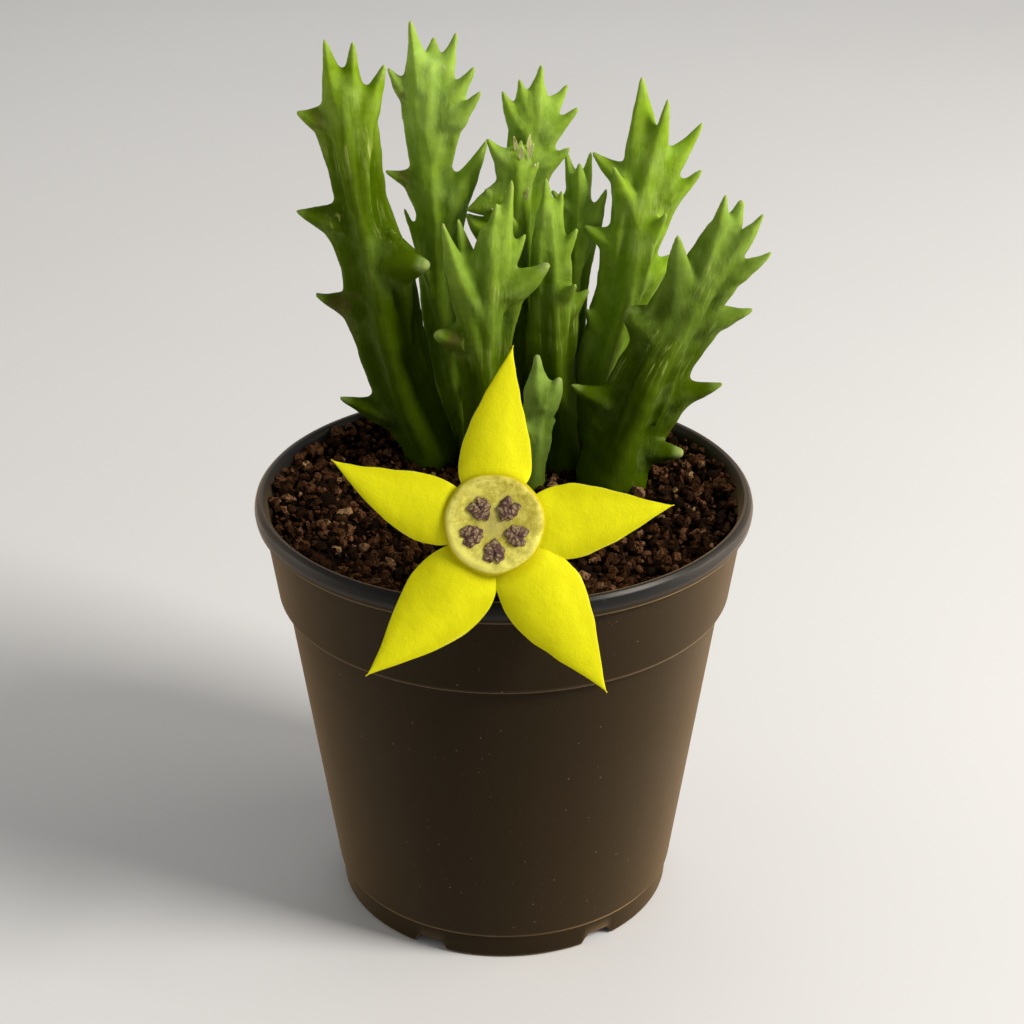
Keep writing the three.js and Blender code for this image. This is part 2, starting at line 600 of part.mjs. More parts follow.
export default group;
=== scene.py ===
"""Potted orbea semota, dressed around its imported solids.

Every shape is worked out in millimetres, in the frame of the solids: +Z up, the pot's axis on
Z, the pot's underside on z = 0 and the flower towards -Y. Meshes are written in metres.
"""
import logging
import math
from dataclasses import dataclass, field
from enum import Enum
from typing import Callable, Iterable, Optional, Sequence, Union

import bpy
import numpy as np
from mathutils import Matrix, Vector


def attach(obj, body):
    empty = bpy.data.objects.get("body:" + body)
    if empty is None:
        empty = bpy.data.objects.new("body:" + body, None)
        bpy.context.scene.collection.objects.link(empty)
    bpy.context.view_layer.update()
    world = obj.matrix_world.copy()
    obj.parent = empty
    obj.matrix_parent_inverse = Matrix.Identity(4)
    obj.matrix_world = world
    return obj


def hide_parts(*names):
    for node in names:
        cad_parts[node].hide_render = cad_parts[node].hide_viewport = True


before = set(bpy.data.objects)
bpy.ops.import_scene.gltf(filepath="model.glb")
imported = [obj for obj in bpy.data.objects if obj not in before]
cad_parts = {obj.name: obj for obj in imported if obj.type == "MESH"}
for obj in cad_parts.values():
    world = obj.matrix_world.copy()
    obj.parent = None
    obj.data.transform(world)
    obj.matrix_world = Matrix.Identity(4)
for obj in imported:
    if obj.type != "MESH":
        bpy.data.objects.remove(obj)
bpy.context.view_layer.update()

LOG = logging.getLogger("potted_orbea_semota")
MM = 0.001
WELD_DISTANCE = 1e-6
UP = np.array([0.0, 0.0, 1.0])
RIGHT = np.array([1.0, 0.0, 0.0])
Color = tuple[float, float, float]
Span = tuple[float, float]
Rows = list[list[float]]
Piece = bpy.types.Object
Node = bpy.types.Node
Socket = bpy.types.NodeSocket
Value = Union[float, Socket]

# Pot, as in the solids: [radius, height] round the outside of the wall, foot to rim.
POT_HEIGHT = 81.4
WALL = 1.0
LEDGE_RISE = 0.9
FLOOR_TOP = 4.2
FLOOR_UNDERSIDE = 2.4
PAD_RADIUS = 9.0
POT_OUTSIDE = [
    [29.6, 0.0], [30.9, 0.0], [31.3, 0.5], [31.6, 4.9], [32.1, 5.5], [39.85, 61.6],
    [40.3, 62.0], [41.1, 62.35], [41.35, 62.9], [43.4, 77.3], [44.3, 77.4], [44.8, 78.0],
    [45.0, 79.3], [44.7, 80.6], [44.0, POT_HEIGHT], [43.3, 81.2], [42.8, 80.3],
]
SOIL_LEVEL = 78.0
ROOT_BOTTOM = 67.0
ROOT_TOP = 79.2

# Stems: rib direction in degrees, centre line rows of [x, y, z, rib radius], and teeth rows of
# [height of the root on the axis, tip x, tip y, tip z, size].
STEMS = [
    dict(name="stem_far_left", pale=0.0, age=26, streaked=(124, 143), blunt={4: 0.8}, dry=[4],
         bruised=[1, 3], ribs=0,
         line=[[-14, 21.8, 79, 5.2], [-17.9, 21.8, 88.8, 5.9], [-20.9, 21.8, 100.6, 6.6],
               [-23, 21.3, 114.3, 6.6], [-25.8, 20.8, 128, 5], [-27.2, 20.3, 139.8, 4.7],
               [-27.6, 19.8, 148.6, 3.2]],
         teeth=[[85.8, -30.9, 19.5, 90.6, 1], [106, -34.8, 21.5, 110.4, 1],
                [123.6, -37.6, 21, 126.5, 1], [142.2, -36.7, 20.1, 145, 0.95],
                [117.3, -13.4, 11.8, 119.4, 1.3], [143.7, -31.2, 20.5, 157.9, 1.3],
                [143.7, -26.2, 20.3, 157.6, 1.2], [141.8, -20.7, 20, 153.7, 1.2],
                [97.6, -23.6, 33.5, 100.6, 0.95], [117.2, -26.6, 33, 121.2, 0.95],
                [133.9, -28.6, 31, 137.8, 0.9]]),
    dict(name="stem_back_left", pale=1.0, age=-46, bruised=[5, 6], ribs=5,
         line=[[-6.3, 27.5, 79, 3.7], [-9.8, 28.5, 90.8, 3.9], [-11.8, 28.8, 104.5, 3.8],
               [-12.4, 28.8, 116.3, 3.7], [-13.1, 28.8, 130, 3.8], [-13.8, 29.1, 142.7, 4.4],
               [-13.4, 29.5, 150.1, 3]],
         teeth=[[143.7, -16.6, 29.5, 159.1, 1.25], [146.7, -12.5, 32, 155.5, 0.8],
                [144.7, -8.4, 31, 156.5, 0.95], [141.8, -5.1, 26.5, 151.5, 1],
                [138.8, -4, 23.5, 147.8, 0.95], [143.2, -20.8, 29, 150.6, 0.8],
                [129, -21.8, 28.5, 131.6, 0.58], [123.6, -3, 26.7, 138, 1.15],
                [112.5, -18.4, 29, 124.4, 0.55], [98.6, -10.8, 37.5, 101.5, 0.8],
                [118.2, -10.8, 38, 122.1, 0.8], [134.9, -14.3, 38, 139.8, 0.8]]),
    dict(name="stem_front", pale=0.4, age=2, blunt={3: 0.6, 6: 0.8}, dry=[3], bruised=[6], ribs=10,
         line=[[-2.6, 16.2, 79, 4.4], [-3.3, 15.7, 91.5, 4.5], [-3.3, 15.2, 101.5, 4.8],
               [-3, 14.7, 111.3, 4.7], [-2.4, 14.2, 119.2, 3.8], [-1.9, 14.2, 125.1, 2.4]],
         teeth=[[119.7, -1.2, 14, 130.3, 1.15], [119.2, 1.5, 15.5, 134.2, 1.1],
                [117.2, 3.9, 15.5, 124, 0.8], [112.3, 8.1, 12.1, 119.7, 1.05],
                [106.4, -10.9, 12.5, 127.2, 1.4], [111.3, -8.2, 16.5, 126.6, 1],
                [103.5, -12.7, 12.5, 106, 0.9], [105.5, -2, 25, 109.4, 0.85],
                [90.8, -4.9, 25, 93.7, 0.8]]),
    dict(name="stem_small_front", pale=0.6, blunt={0: 0.5, 1: 0.6}, dry=[0, 1], ribs=20,
         line=[[4.8, 9.5, 79, 3], [5.2, 9.5, 86.8, 3.2], [6.3, 9.5, 92.7, 3.1],
               [7.1, 9.5, 96.6, 2.1]],
         teeth=[[93.2, 6, 9.5, 103.4, 0.95], [92.2, 10.2, 8.5, 99.2, 0.95],
                [87.8, 2.4, 5.1, 91.2, 0.6], [85.8, 9.5, 13, 89.3, 0.6]]),
    dict(name="stem_back", pale=0.4, dry=[9, 10, 11], ribs=0,
         line=[[1.9, 26.5, 79, 3.8], [2.8, 27.1, 94.7, 3.9], [3.3, 27.3, 107.4, 3.8],
               [3.2, 28.3, 126.1, 3.3], [4.3, 29.3, 134.9, 3.2], [5.1, 30.3, 143.7, 2.2]],
         teeth=[[141.3, 6.8, 30.5, 150.9, 0.85], [140.8, 2.8, 29.5, 148.4, 0.75],
                [137.8, -0.3, 29, 146.4, 0.8], [139.3, 11.6, 32, 146.8, 0.8],
                [136.8, 13.5, 28.5, 143.5, 0.85], [131.5, 12, 27, 136.4, 0.8],
                [102.5, 2, 36, 106.4, 0.8], [122.1, 3.3, 37, 126.1, 0.8]],
         branch=[[3.1, 26.5, 101.5, 2.2], [2.7, 24.5, 109.4, 2.9], [2, 23.3, 123.1, 3],
                 [2, 23.3, 132.9, 2.8], [2, 23.3, 137.3, 1.5]],
         branch_teeth=[[134.4, -3.1, 23.3, 139.3, 0.65], [133.9, 3.1, 22.5, 139.2, 0.6],
                       [133.4, 5, 24, 139.1, 0.6], [130.5, 6.3, 22, 135.5, 0.6],
                       [124.1, -3.2, 22.1, 130, 0.65], [120.2, 1.4, 18.1, 126.5, 0.6],
                       [127.4, -6.9, 22.6, 126, 0.8], [118.8, -6.9, 23.6, 125.1, 1.35]]),
    dict(name="stem_back_slim", pale=0.5, ribs=5,
         line=[[11.4, 28.3, 79, 3.5], [11.9, 28.6, 94.7, 3.6], [12.2, 28.6, 106.4, 3.4],
               [13.4, 28.2, 120.2, 3], [13.8, 28, 130, 2]],
         teeth=[[127.5, 11.3, 28.5, 135.3, 0.65], [127, 15.9, 29, 135.1, 0.6],
                [126.5, 13.7, 25.3, 134.2, 0.6], [123.6, 8.7, 26.9, 128.5, 0.6],
                [118, 18.8, 27.5, 128.6, 0.9], [108.4, 9.8, 35, 112.3, 0.7]]),
    dict(name="stem_middle", pale=0.4, ribs=15,
         line=[[10.8, 18, 79, 3.7], [9.8, 18.3, 90.8, 3.8], [8.9, 18.5, 104.5, 4.1],
               [8.4, 18.5, 117.2, 3.8], [8.1, 18.5, 127, 2.4]],
         teeth=[[123.1, 7.5, 18.8, 133.4, 0.85], [122.1, 10.4, 19.1, 131, 0.75],
                [107.4, 15.5, 18.5, 112.4, 0.9], [118.2, 13.2, 16.9, 124.6, 0.7],
                [110.4, 13, 13.1, 115.3, 0.7]]),
    dict(name="stem_back_right", pale=0.0, age=-46, streaked=(92, 128), ribs=5,
         line=[[17.6, 23, 79, 4.4], [18.4, 24.5, 92.7, 5], [20.5, 25.1, 102.5, 5.3],
               [22.5, 25.2, 111.3, 5.1], [25, 25.2, 126.1, 4.4], [26.6, 25.2, 136.8, 3]],
         teeth=[[131.9, 24.6, 26.5, 149.7, 1.35], [131, 29.2, 23, 146.6, 1.05],
                [130.5, 35.8, 26.5, 141.3, 1], [125.6, 35.8, 23.5, 133.4, 0.95],
                [129.5, 15.9, 26.1, 136, 0.85], [125.1, 19.6, 20.5, 134.9, 0.8],
                [117.7, 14.6, 24.4, 122.7, 0.85], [118.7, 29.3, 19.5, 126.5, 0.85],
                [110.9, 31.8, 26, 116.6, 1.25], [100.1, 15.2, 23.5, 106.8, 0.75],
                [105.5, 24.1, 35, 109.4, 0.85], [123.1, 27.1, 35, 128, 0.8]]),
    dict(name="stem_right", pale=0.5, age=14, blunt={3: 0.9, 4: 1.6, 7: 0.6}, dry=[3], ribs=0,
         line=[[20, 11.2, 79, 6.6], [23.4, 11.7, 89.3, 7], [27.4, 12.2, 99.6, 6.8],
               [32.5, 12.7, 109.4, 5.1], [35.9, 12.7, 118.2, 4.1], [38.6, 12.7, 126.1, 2.8]],
         teeth=[[108.4, 30.7, 10, 125.8, 1.45], [107.4, 44.9, 11.5, 111.2, 0.95],
                [93.2, 39.9, 9.5, 97.6, 1], [83.4, 32.9, 7, 84.9, 0.6],
                [105, 22.3, 13.5, 110.6, 1.35], [91.7, 12.2, 10.5, 97, 1.05],
                [118.2, 39.1, 12.3, 132.5, 1.25], [118.7, 42.2, 14, 130.9, 1],
                [118.2, 45.7, 10.5, 129.5, 0.85], [115.3, 47.4, 9, 122.9, 0.8],
                [96.6, 29.6, 23.5, 101, 0.95], [113.3, 36, 23, 118.2, 0.85]]),
]

# Flower: the middle of its face, the tilt of the face back from upright, and petals of [clock
# angle of the root, clock angle of the tip, length, half width, shoulder distance].
FLOWER_CENTRE = np.array([-1.4, -42.0, 94.4])
FLOWER_TILT = math.radians(26.5)
PETALS = [[-1, 6, 29.3, 6, 9.8], [88, 83.5, 29.3, 6.1, 12.5], [144.5, 146, 32.6, 6.7, 14.5],
          [210.5, 220.5, 32, 6.8, 14], [281, 292, 28.4, 5.5, 11.5]]
STALK_LINE = [[-2.6, 13.9, 84], [-2.5, 8, 86], [-2.3, -3, 89.4], [-2, -16, 91.2],
              [-1.7, -28, 91], [-1.5, -36, 91.8], [-1.4, -41.1, 93.95]]

# Withered scraps on the stems: place of the root, length, width, and how far the end leans.
HUSKS = [
    ((2.3, 22.2, 136.6), 3.4, 0.8, (-0.15, -0.1)), ((3.1, 21.3, 136.0), 2.4, 1.0, (0.1, -0.3)),
    ((4.6, 21.8, 136.0), 2.8, 0.9, (0.25, -0.2)), ((4.4, 22.6, 137.0), 3.0, 0.7, (0.1, 0.2)),
    ((4.8, 22.0, 132.8), 2.2, 1.0, (0.4, -0.2)), ((1.2, 20.6, 127.6), 2.9, 1.1, (-0.3, -0.3)),
    ((4.0, 21.1, 128.6), 2.2, 0.8, (0.2, -0.3)), ((-1.0, 21.2, 124.6), 2.4, 1.0, (-0.5, -0.2)),
]


def lerp(a: Value, b: Value, t: Value) -> Value:
    """Returns the value a share t of the way from a to b."""
    return a + (b - a) * t


def smoothstep(low: float, high: float, value: np.ndarray) -> np.ndarray:
    """Returns 0 below low and 1 above high, with a smooth S between them."""
    t = np.clip((value - low) / (high - low), 0, 1)
    return t * t * (3 - 2 * t)


def unit(vectors: np.ndarray) -> np.ndarray:
    """Returns the vectors, one per row, at length 1."""
    return vectors / np.maximum(np.linalg.norm(vectors, axis=-1, keepdims=True), 1e-9)


def round_angles(count: int) -> np.ndarray:
    """Returns the angles of points spread evenly round a circle."""
    return np.linspace(0, 2 * math.pi, count, endpoint=False)


def ripple(points: np.ndarray, wavelength: float, seed: int, waves: int = 9) -> np.ndarray:
    """An even, smooth unevenness: the mean of plane waves in random directions.

    Args:
        points: Places to work it out at, one per row, in millimetres.
        wavelength: Length of the waves, in millimetres.
        seed: Picks the directions and phases.
        waves: How many waves are added up.

    Returns:
        One number per point, mostly between -1 and 1.
    """
    draw = np.random.default_rng(seed)
    directions = unit(draw.normal(size=(waves, 3))) * draw.uniform(0.7, 1.4, (waves, 1))
    phases = draw.uniform(0, 2 * math.pi, waves)
    turns = points @ directions.T * (2 * math.pi / wavelength) + phases
    return np.sin(turns).sum(axis=-1) / math.sqrt(waves)


def curve_rows(rows: np.ndarray, at: np.ndarray) -> np.ndarray:
    """A uniform Catmull-Rom curve through the rows, at fractional row numbers."""
    last = len(rows) - 1
    i = np.minimum(at.astype(int), last - 1)
    t = (at - i)[:, None]
    a, b, c, d = (rows[np.clip(i + k, 0, last)] for k in (-1, 0, 1, 2))
    return b + 0.5 * t * ((c - a) + t * (2 * a - 5 * b + 4 * c - d + t * (3 * b - a - 3 * c + d)))


def bezier(root: np.ndarray, bend: np.ndarray, tip: np.ndarray, t: np.ndarray) -> np.ndarray:
    """Points of a quadratic Bezier curve at the shares t of its way."""
    s = t[:, None]
    return (1 - s) ** 2 * root + 2 * s * (1 - s) * bend + s * s * tip


def eased(outline: Sequence[Sequence[float]], radius: float, steps: int = 4) -> np.ndarray:
    """An outline with each inner corner replaced by a small parabola.

    Args:
        outline: Corner points, two numbers each.
        radius: How far from the corner the parabola starts, at most a third of either side.
        steps: Points of each parabola, less one.

    Returns:
        The eased outline, one point per row.
    """
    corners = np.asarray(outline, float)
    before, here, after = corners[:-2], corners[1:-1], corners[2:]
    back, ahead = before - here, after - here
    lengths = [np.linalg.norm(side, axis=1, keepdims=True) for side in (back, ahead)]
    start = here + back / lengths[0] * np.minimum(radius, lengths[0] / 3)
    stop = here + ahead / lengths[1] * np.minimum(radius, lengths[1] / 3)
    t = np.linspace(0, 1, steps + 1)[None, :, None]
    arcs = (1 - t) ** 2 * start[:, None] + 2 * t * (1 - t) * here[:, None] + t * t * stop[:, None]
    return np.concatenate([corners[:1], arcs.reshape(-1, 2), corners[-1:]])


@dataclass
class Surface:
    """Points in millimetres, and faces as arrays of point numbers."""

    points: np.ndarray
    faces: list[np.ndarray]

    def volume(self) -> float:
        """Returns the volume enclosed, negative if the faces point inwards."""
        total = 0.0
        for block in self.faces:
            corners = self.points[block]
            for k in range(1, block.shape[1] - 1):
                total += np.einsum("ij,ij->", corners[:, 0], np.cross(corners[:, k], corners[:, k + 1]))
        return total / 6

    def outward(self) -> "Surface":
        """Returns the surface with its faces pointing out."""
        if self.volume() < 0:
            return Surface(self.points, [block[:, ::-1] for block in self.faces])
        return self

    @staticmethod
    def joined(parts: Iterable["Surface"]) -> "Surface":
        """Returns one surface that holds all the parts."""
        points, faces, offset = [], [], 0
        for part in parts:
            points.append(part.points)
            faces.extend(block + offset for block in part.faces)
            offset += len(part.points)
        return Surface(np.concatenate(points), faces)


def ring_quads(rings: int, sides: int, wrap_rings: bool = False) -> np.ndarray:
    """Faces between consecutive rings of points, each ring closed on itself.

    Args:
        rings: Number of rings.
        sides: Points in each ring.
        wrap_rings: Whether the last ring joins the first.

    Returns:
        Four point numbers per face.
    """
    i = np.arange(rings if wrap_rings else rings - 1)[:, None]
    j = np.arange(sides)[None, :]
    low, high = i * sides, ((i + 1) % rings) * sides
    nxt = (j + 1) % sides
    return np.stack([low + j, low + nxt, high + nxt, high + j], axis=-1).reshape(-1, 4)


def loft(rings: np.ndarray) -> Surface:
    """A profile carried along a path: rings of points, closed at both ends by fans.

    Args:
        rings: Array of shape (rings, points in a ring, 3).

    Returns:
        A closed surface with its faces pointing out.
    """
    count, sides, _ = rings.shape
    middles = rings[[0, -1]].mean(axis=1)
    points = np.concatenate([rings.reshape(-1, 3), middles])
    j = np.arange(sides)
    nxt = (j + 1) % sides
    first = np.stack([nxt, j, np.full(sides, count * sides)], axis=-1)
    top = (count - 1) * sides
    last = np.stack([top + j, top + nxt, np.full(sides, count * sides + 1)], axis=-1)
    return Surface(points, [ring_quads(count, sides), first, last]).outward()


def spun(outline: np.ndarray, sides: int) -> np.ndarray:
    """Returns a ring of points about Z for each [radius, height] row of an outline."""
    angle = round_angles(sides)
    return np.stack([outline[:, :1] * np.cos(angle), outline[:, :1] * np.sin(angle),
                     np.repeat(outline[:, 1:], sides, axis=1)], axis=-1)


def turned(outline: np.ndarray, sides: int) -> Surface:
    """A closed outline of [radius, height] points turned about Z, with no point on the axis."""
    points = spun(outline, sides).reshape(-1, 3)
    return Surface(points, [ring_quads(len(outline), sides, wrap_rings=True)]).outward()


def sections(line: np.ndarray, first: np.ndarray, second: np.ndarray, along_first: np.ndarray,
             along_second: np.ndarray) -> np.ndarray:
    """Rings of points round a line: line + first * along_first + second * along_second.

    Args:
        line: Middle of each ring.
        first: One direction across the line, the same for all rings or one for each.
        second: The other direction.
        along_first: How far each point of each ring lies along the first direction.
        along_second: How far it lies along the second.

    Returns:
        Array of shape (rings, points in a ring, 3).
    """
    return (line[:, None] + first[..., None, :] * along_first[..., None]
            + second[..., None, :] * along_second[..., None])


def swung(outward: np.ndarray, aside: np.ndarray, height: np.ndarray,
          angle: Union[float, np.ndarray]) -> np.ndarray:
    """Returns points given by how far they lie out along an angle in the plane, and beside it."""
    return np.stack([outward * np.cos(angle) - aside * np.sin(angle),
                     outward * np.sin(angle) + aside * np.cos(angle), height], axis=-1)


def write_mesh(name: str, surface: Surface, scale: float = MM) -> bpy.types.Mesh:
    """A Blender mesh of the surface, smooth shaded.

    Args:
        name: Name of the mesh.
        surface: What to write.
        scale: Metres per unit of the surface.

    Returns:
        The new mesh.
    """
    mesh = bpy.data.meshes.new(name)
    corners = np.concatenate([block.ravel() for block in surface.faces])
    sizes = np.concatenate([np.full(len(block), block.shape[1]) for block in surface.faces])
    mesh.vertices.add(len(surface.points))
    mesh.vertices.foreach_set("co", (surface.points * scale).ravel())
    mesh.loops.add(len(corners))
    mesh.loops.foreach_set("vertex_index", corners)
    mesh.polygons.add(len(sizes))
    mesh.polygons.foreach_set("loop_start", np.concatenate([[0], np.cumsum(sizes)[:-1]]))
    mesh.update(calc_edges=True)
    mesh.shade_smooth()
    return mesh


def add_object(name: str, data: bpy.types.ID) -> Piece:
    """Returns a new object at the origin that shows a mesh, a light or a camera."""
    made = bpy.data.objects.new(name, data)
    bpy.context.collection.objects.link(made)
    return made


def place(name: str, surface: Surface) -> Piece:
    """Returns a new piece at the origin, its surface given in millimetres."""
    return add_object(name, write_mesh(name, surface))


def mesh_points(mesh: bpy.types.Mesh) -> np.ndarray:
    """Returns the points of a mesh, one per row."""
    points = np.empty(len(mesh.vertices) * 3)
    mesh.vertices.foreach_get("co", points)
    return points.reshape(-1, 3)


def store(piece: Piece, **fields: np.ndarray) -> None:
    """Stores one number, or one row of three, per point of a piece's mesh.

    Args:
        piece: The object.
        fields: Values by the name that the material reads.
    """
    for name, values in fields.items():
        vector = values.ndim == 2
        kind, key = ("FLOAT_VECTOR", "vector") if vector else ("FLOAT", "value")
        attribute = piece.data.attributes.new(name, kind, "POINT")
        attribute.data.foreach_set(key, values.astype(np.float32).ravel())


def apply_modifiers(piece: Piece) -> None:
    """Replaces a piece's mesh by what its modifiers make of it."""
    graph = bpy.context.evaluated_depsgraph_get()
    mesh = bpy.data.meshes.new_from_object(piece.evaluated_get(graph))
    old = piece.data
    piece.modifiers.clear()
    piece.data = mesh
    bpy.data.meshes.remove(old)
    mesh.name = piece.name


def weld(piece: Piece) -> None:
    """Merges a piece's points that coincide."""
    join = piece.modifiers.new("weld", "WELD")
    join.merge_threshold = WELD_DISTANCE
    apply_modifiers(piece)


class Joining(Enum):
    """What becomes of a piece where another one overlaps it."""

    GROWN_TOGETHER = "UNION"
    CUT_AWAY = "DIFFERENCE"


def combine(piece: Piece, others: Sequence[Piece], joining: Joining) -> None:
    """Grows other pieces together with a piece, or cuts them out of it, and removes them.

    Args:
        piece: The piece that stays.
        others: The pieces that are used up.
        joining: Which of the two is done.
    """
    for other in others:
        step = piece.modifiers.new("combine", "BOOLEAN")
        step.operation, step.solver, step.object = joining.value, "MANIFOLD", other
    apply_modifiers(piece)
    for other in others:
        bpy.data.objects.remove(other)


def settle(piece: Piece, slot: str, finish: "Finish", *nodes: str) -> None:
    """Rides a piece on the body, dresses it in its finish and hides the nodes it stands for.

    Args:
        piece: The finished object.
        slot: Not used.
        finish: The finish to dress it in.
        nodes: Names of the solids that it replaces.
    """
    piece.data.materials.clear()
    piece.data.materials.append(finish.material())
    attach(piece, "root")
    if nodes:
        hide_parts(*nodes)
    LOG.info("%s: %d faces", piece.name, len(piece.data.polygons))


class Network:
    """A node tree being wired, for a material or for a node group."""

    def __init__(self, tree: bpy.types.NodeTree) -> None:
        """Starts wiring a tree."""
        self.tree = tree

    def add(self, kind: str, inputs: Optional[dict] = None, **settings: object) -> Node:
        """Adds a node.

        Args:
            kind: Its type's name, without the ShaderNode prefix.
            inputs: Values or sockets by input name or number.
            settings: Properties of the node.

        Returns:
            The node.
        """
        node = self.tree.nodes.new("ShaderNode" + kind)
        for key, value in settings.items():
            setattr(node, key, value)
        for key, value in (inputs or {}).items():
            self.feed(node.inputs[key], value)
        return node

    def feed(self, socket: Socket, value: object) -> None:
        """Links a socket to another, or sets its own value."""
        if isinstance(value, Socket):
            self.tree.links.new(value, socket)
        elif isinstance(value, tuple) and len(value) == 3 and socket.type == "RGBA":
            socket.default_value = (*value, 1.0)
        else:
            socket.default_value = value

    def place(self) -> Socket:
        """Returns the point's place on the piece, in metres."""
        return self.add("TexCoord").outputs["Object"]

    def split(self, vector: Value) -> bpy.types.bpy_prop_collection:
        """Returns the X, Y and Z of a vector."""
        return self.add("SeparateXYZ", {"Vector": vector}).outputs

    def attribute(self, name: str, output: str = "Fac") -> Socket:
        """Returns a value stored on the mesh."""
        return self.add("Attribute", attribute_name=name).outputs[output]

    def scaled_noise(self, vector: Value, scale: Value, detail: float,
                     roughness: float = 0.5) -> Socket:
        """Returns noise from 0 to 1 at a scale."""
        return self.add("TexNoise", {"Vector": vector, "Scale": scale, "Detail": detail,
                                     "Roughness": roughness}).outputs["Fac"]

    def noise(self, vector: Value, size_mm: float, detail: float = 3.0,
              roughness: float = 0.55) -> Socket:
        """Returns noise from 0 to 1 with features of about size_mm."""
        return self.scaled_noise(vector, 1 / (size_mm * MM), detail, roughness)

    def math(self, operation: str, a: Value, b: Value) -> Socket:
        """Returns the result of one operation on two numbers."""
        return self.add("Math", {0: a, 1: b}, operation=operation).outputs[0]

    def times(self, *values: Value) -> Socket:
        """Returns the product of two or more numbers, multiplied in their order."""
        result = values[0]
        for value in values[1:]:
            result = self.math("MULTIPLY", result, value)
        return result

    def larger(self, a: Value, b: Value) -> Socket:
        """Returns the larger of two numbers."""
        return self.math("MAXIMUM", a, b)

    def rest(self, share: Value) -> Socket:
        """Returns what a share leaves of 1."""
        return self.math("SUBTRACT", 1.0, share)

    def span(self, value: Value, low: float, high: float, to_low: float = 0.0,
             to_high: float = 1.0) -> Socket:
        """Returns the value moved smoothly from one range to another."""
        node = self.add("MapRange", {"Value": value, "From Min": low, "From Max": high,
                                     "To Min": to_low, "To Max": to_high},
                        interpolation_type="SMOOTHSTEP")
        return node.outputs["Result"]

    def mix(self, factor: Value, a: object, b: object, blend: str = "MIX") -> Socket:
        """Returns two colours mixed by a factor."""
        node = self.add("Mix", data_type="RGBA", blend_type=blend)
        self.feed(node.inputs[0], factor)
        self.feed(node.inputs[6], a)
        self.feed(node.inputs[7], b)
        return node.outputs[2]

    def ramp(self, factor: Value, stops: Sequence[tuple[float, Color]]) -> Socket:
        """Returns a colour read from stops of (position, colour)."""
        node = self.add("ValToRGB", {"Fac": factor})
        elements = node.color_ramp.elements
        elements.remove(elements[1])
        elements[0].position = stops[0][0]
        elements[0].color = (*stops[0][1], 1.0)
        for position, color in stops[1:]:
            elements.new(position).color = (*color, 1.0)
        return node.outputs["Color"]

    def stretched(self, vector: Value, scale: Color) -> Socket:
        """Returns the vector scaled along its axes, which draws a pattern out."""
        return self.add("Mapping", {"Vector": vector, "Scale": scale}).outputs["Vector"]

    def bump(self, height: Value, depth_mm: float, normal: Optional[Value] = None) -> Socket:
        """Returns a normal bent by a height that stands for depth_mm."""
        inputs = {"Height": height, "Distance": depth_mm * MM, "Strength": 1.0}
        if normal is not None:
            inputs["Normal"] = normal
        return self.add("Bump", inputs).outputs["Normal"]


def build_group(name: str, inputs: dict[str, tuple[str, object]], outputs: dict[str, str],
                wire: Callable[[Network, Node, Node], None]) -> bpy.types.NodeTree:
    """Builds a shader node group once, or finds it again.

    Args:
        name: Name of the group.
        inputs: Socket kind and default by input name.
        outputs: Socket kind by output name.
        wire: Wires the inside, given the network and the two end nodes.

    Returns:
        The group's tree.
    """
    if name in bpy.data.node_groups:
        return bpy.data.node_groups[name]
    tree = bpy.data.node_groups.new(name, "ShaderNodeTree")
    for key, (kind, default) in inputs.items():
        socket = tree.interface.new_socket(key, in_out="INPUT", socket_type="NodeSocket" + kind)
        if default is not None:
            socket.default_value = default
    for key, kind in outputs.items():
        tree.interface.new_socket(key, in_out="OUTPUT", socket_type="NodeSocket" + kind)
    start, end = tree.nodes.new("NodeGroupInput"), tree.nodes.new("NodeGroupOutput")
    wire(Network(tree), start, end)
    return tree


def grain_group() -> bpy.types.NodeTree:
    """Fine grain of skin or plastic: two sizes of noise, put out as one height from 0 to 1."""
    def wire(net: Network, start: Node, end: Node) -> None:
        """Adds the fine noise to the coarse one by the Fineness input."""
        vector, scale = start.outputs["Vector"], start.outputs["Scale"]
        coarse = net.scaled_noise(vector, scale, 3.0)
        fine = net.scaled_noise(vector, net.times(scale, 4.3), 2.0)
        blend = net.add("Mix", {0: start.outputs["Fineness"], 2: coarse, 3: fine})
        net.feed(end.inputs["Height"], blend.outputs[0])
    return build_group("fine_grain", {"Vector": ("Vector", None), "Scale": ("Float", 1000.0),
                                      "Fineness": ("Float", 0.4)}, {"Height": "Float"}, wire)


def streak_group() -> bpy.types.NodeTree:
    """Long pale streaks: noise drawn out along one axis, with its thin crests picked out."""
    def wire(net: Network, start: Node, end: Node) -> None:
        """Keeps the crests of two drawn-out noises."""
        vector, scale = start.outputs["Vector"], start.outputs["Scale"]
        broad = net.scaled_noise(vector, scale, 2.0)
        tight = net.scaled_noise(vector, net.times(scale, 2.7), 3.0)
        crest = net.span(broad, 0.52, 0.70)
        thread = net.span(tight, 0.50, 0.68)
        net.feed(end.inputs["Broad"], crest)
        net.feed(end.inputs["Thread"], net.times(thread, net.math("ADD", crest, 0.35)))
    return build_group("long_streaks", {"Vector": ("Vector", None), "Scale": ("Float", 1000.0)},
                       {"Broad": "Float", "Thread": "Float"}, wire)


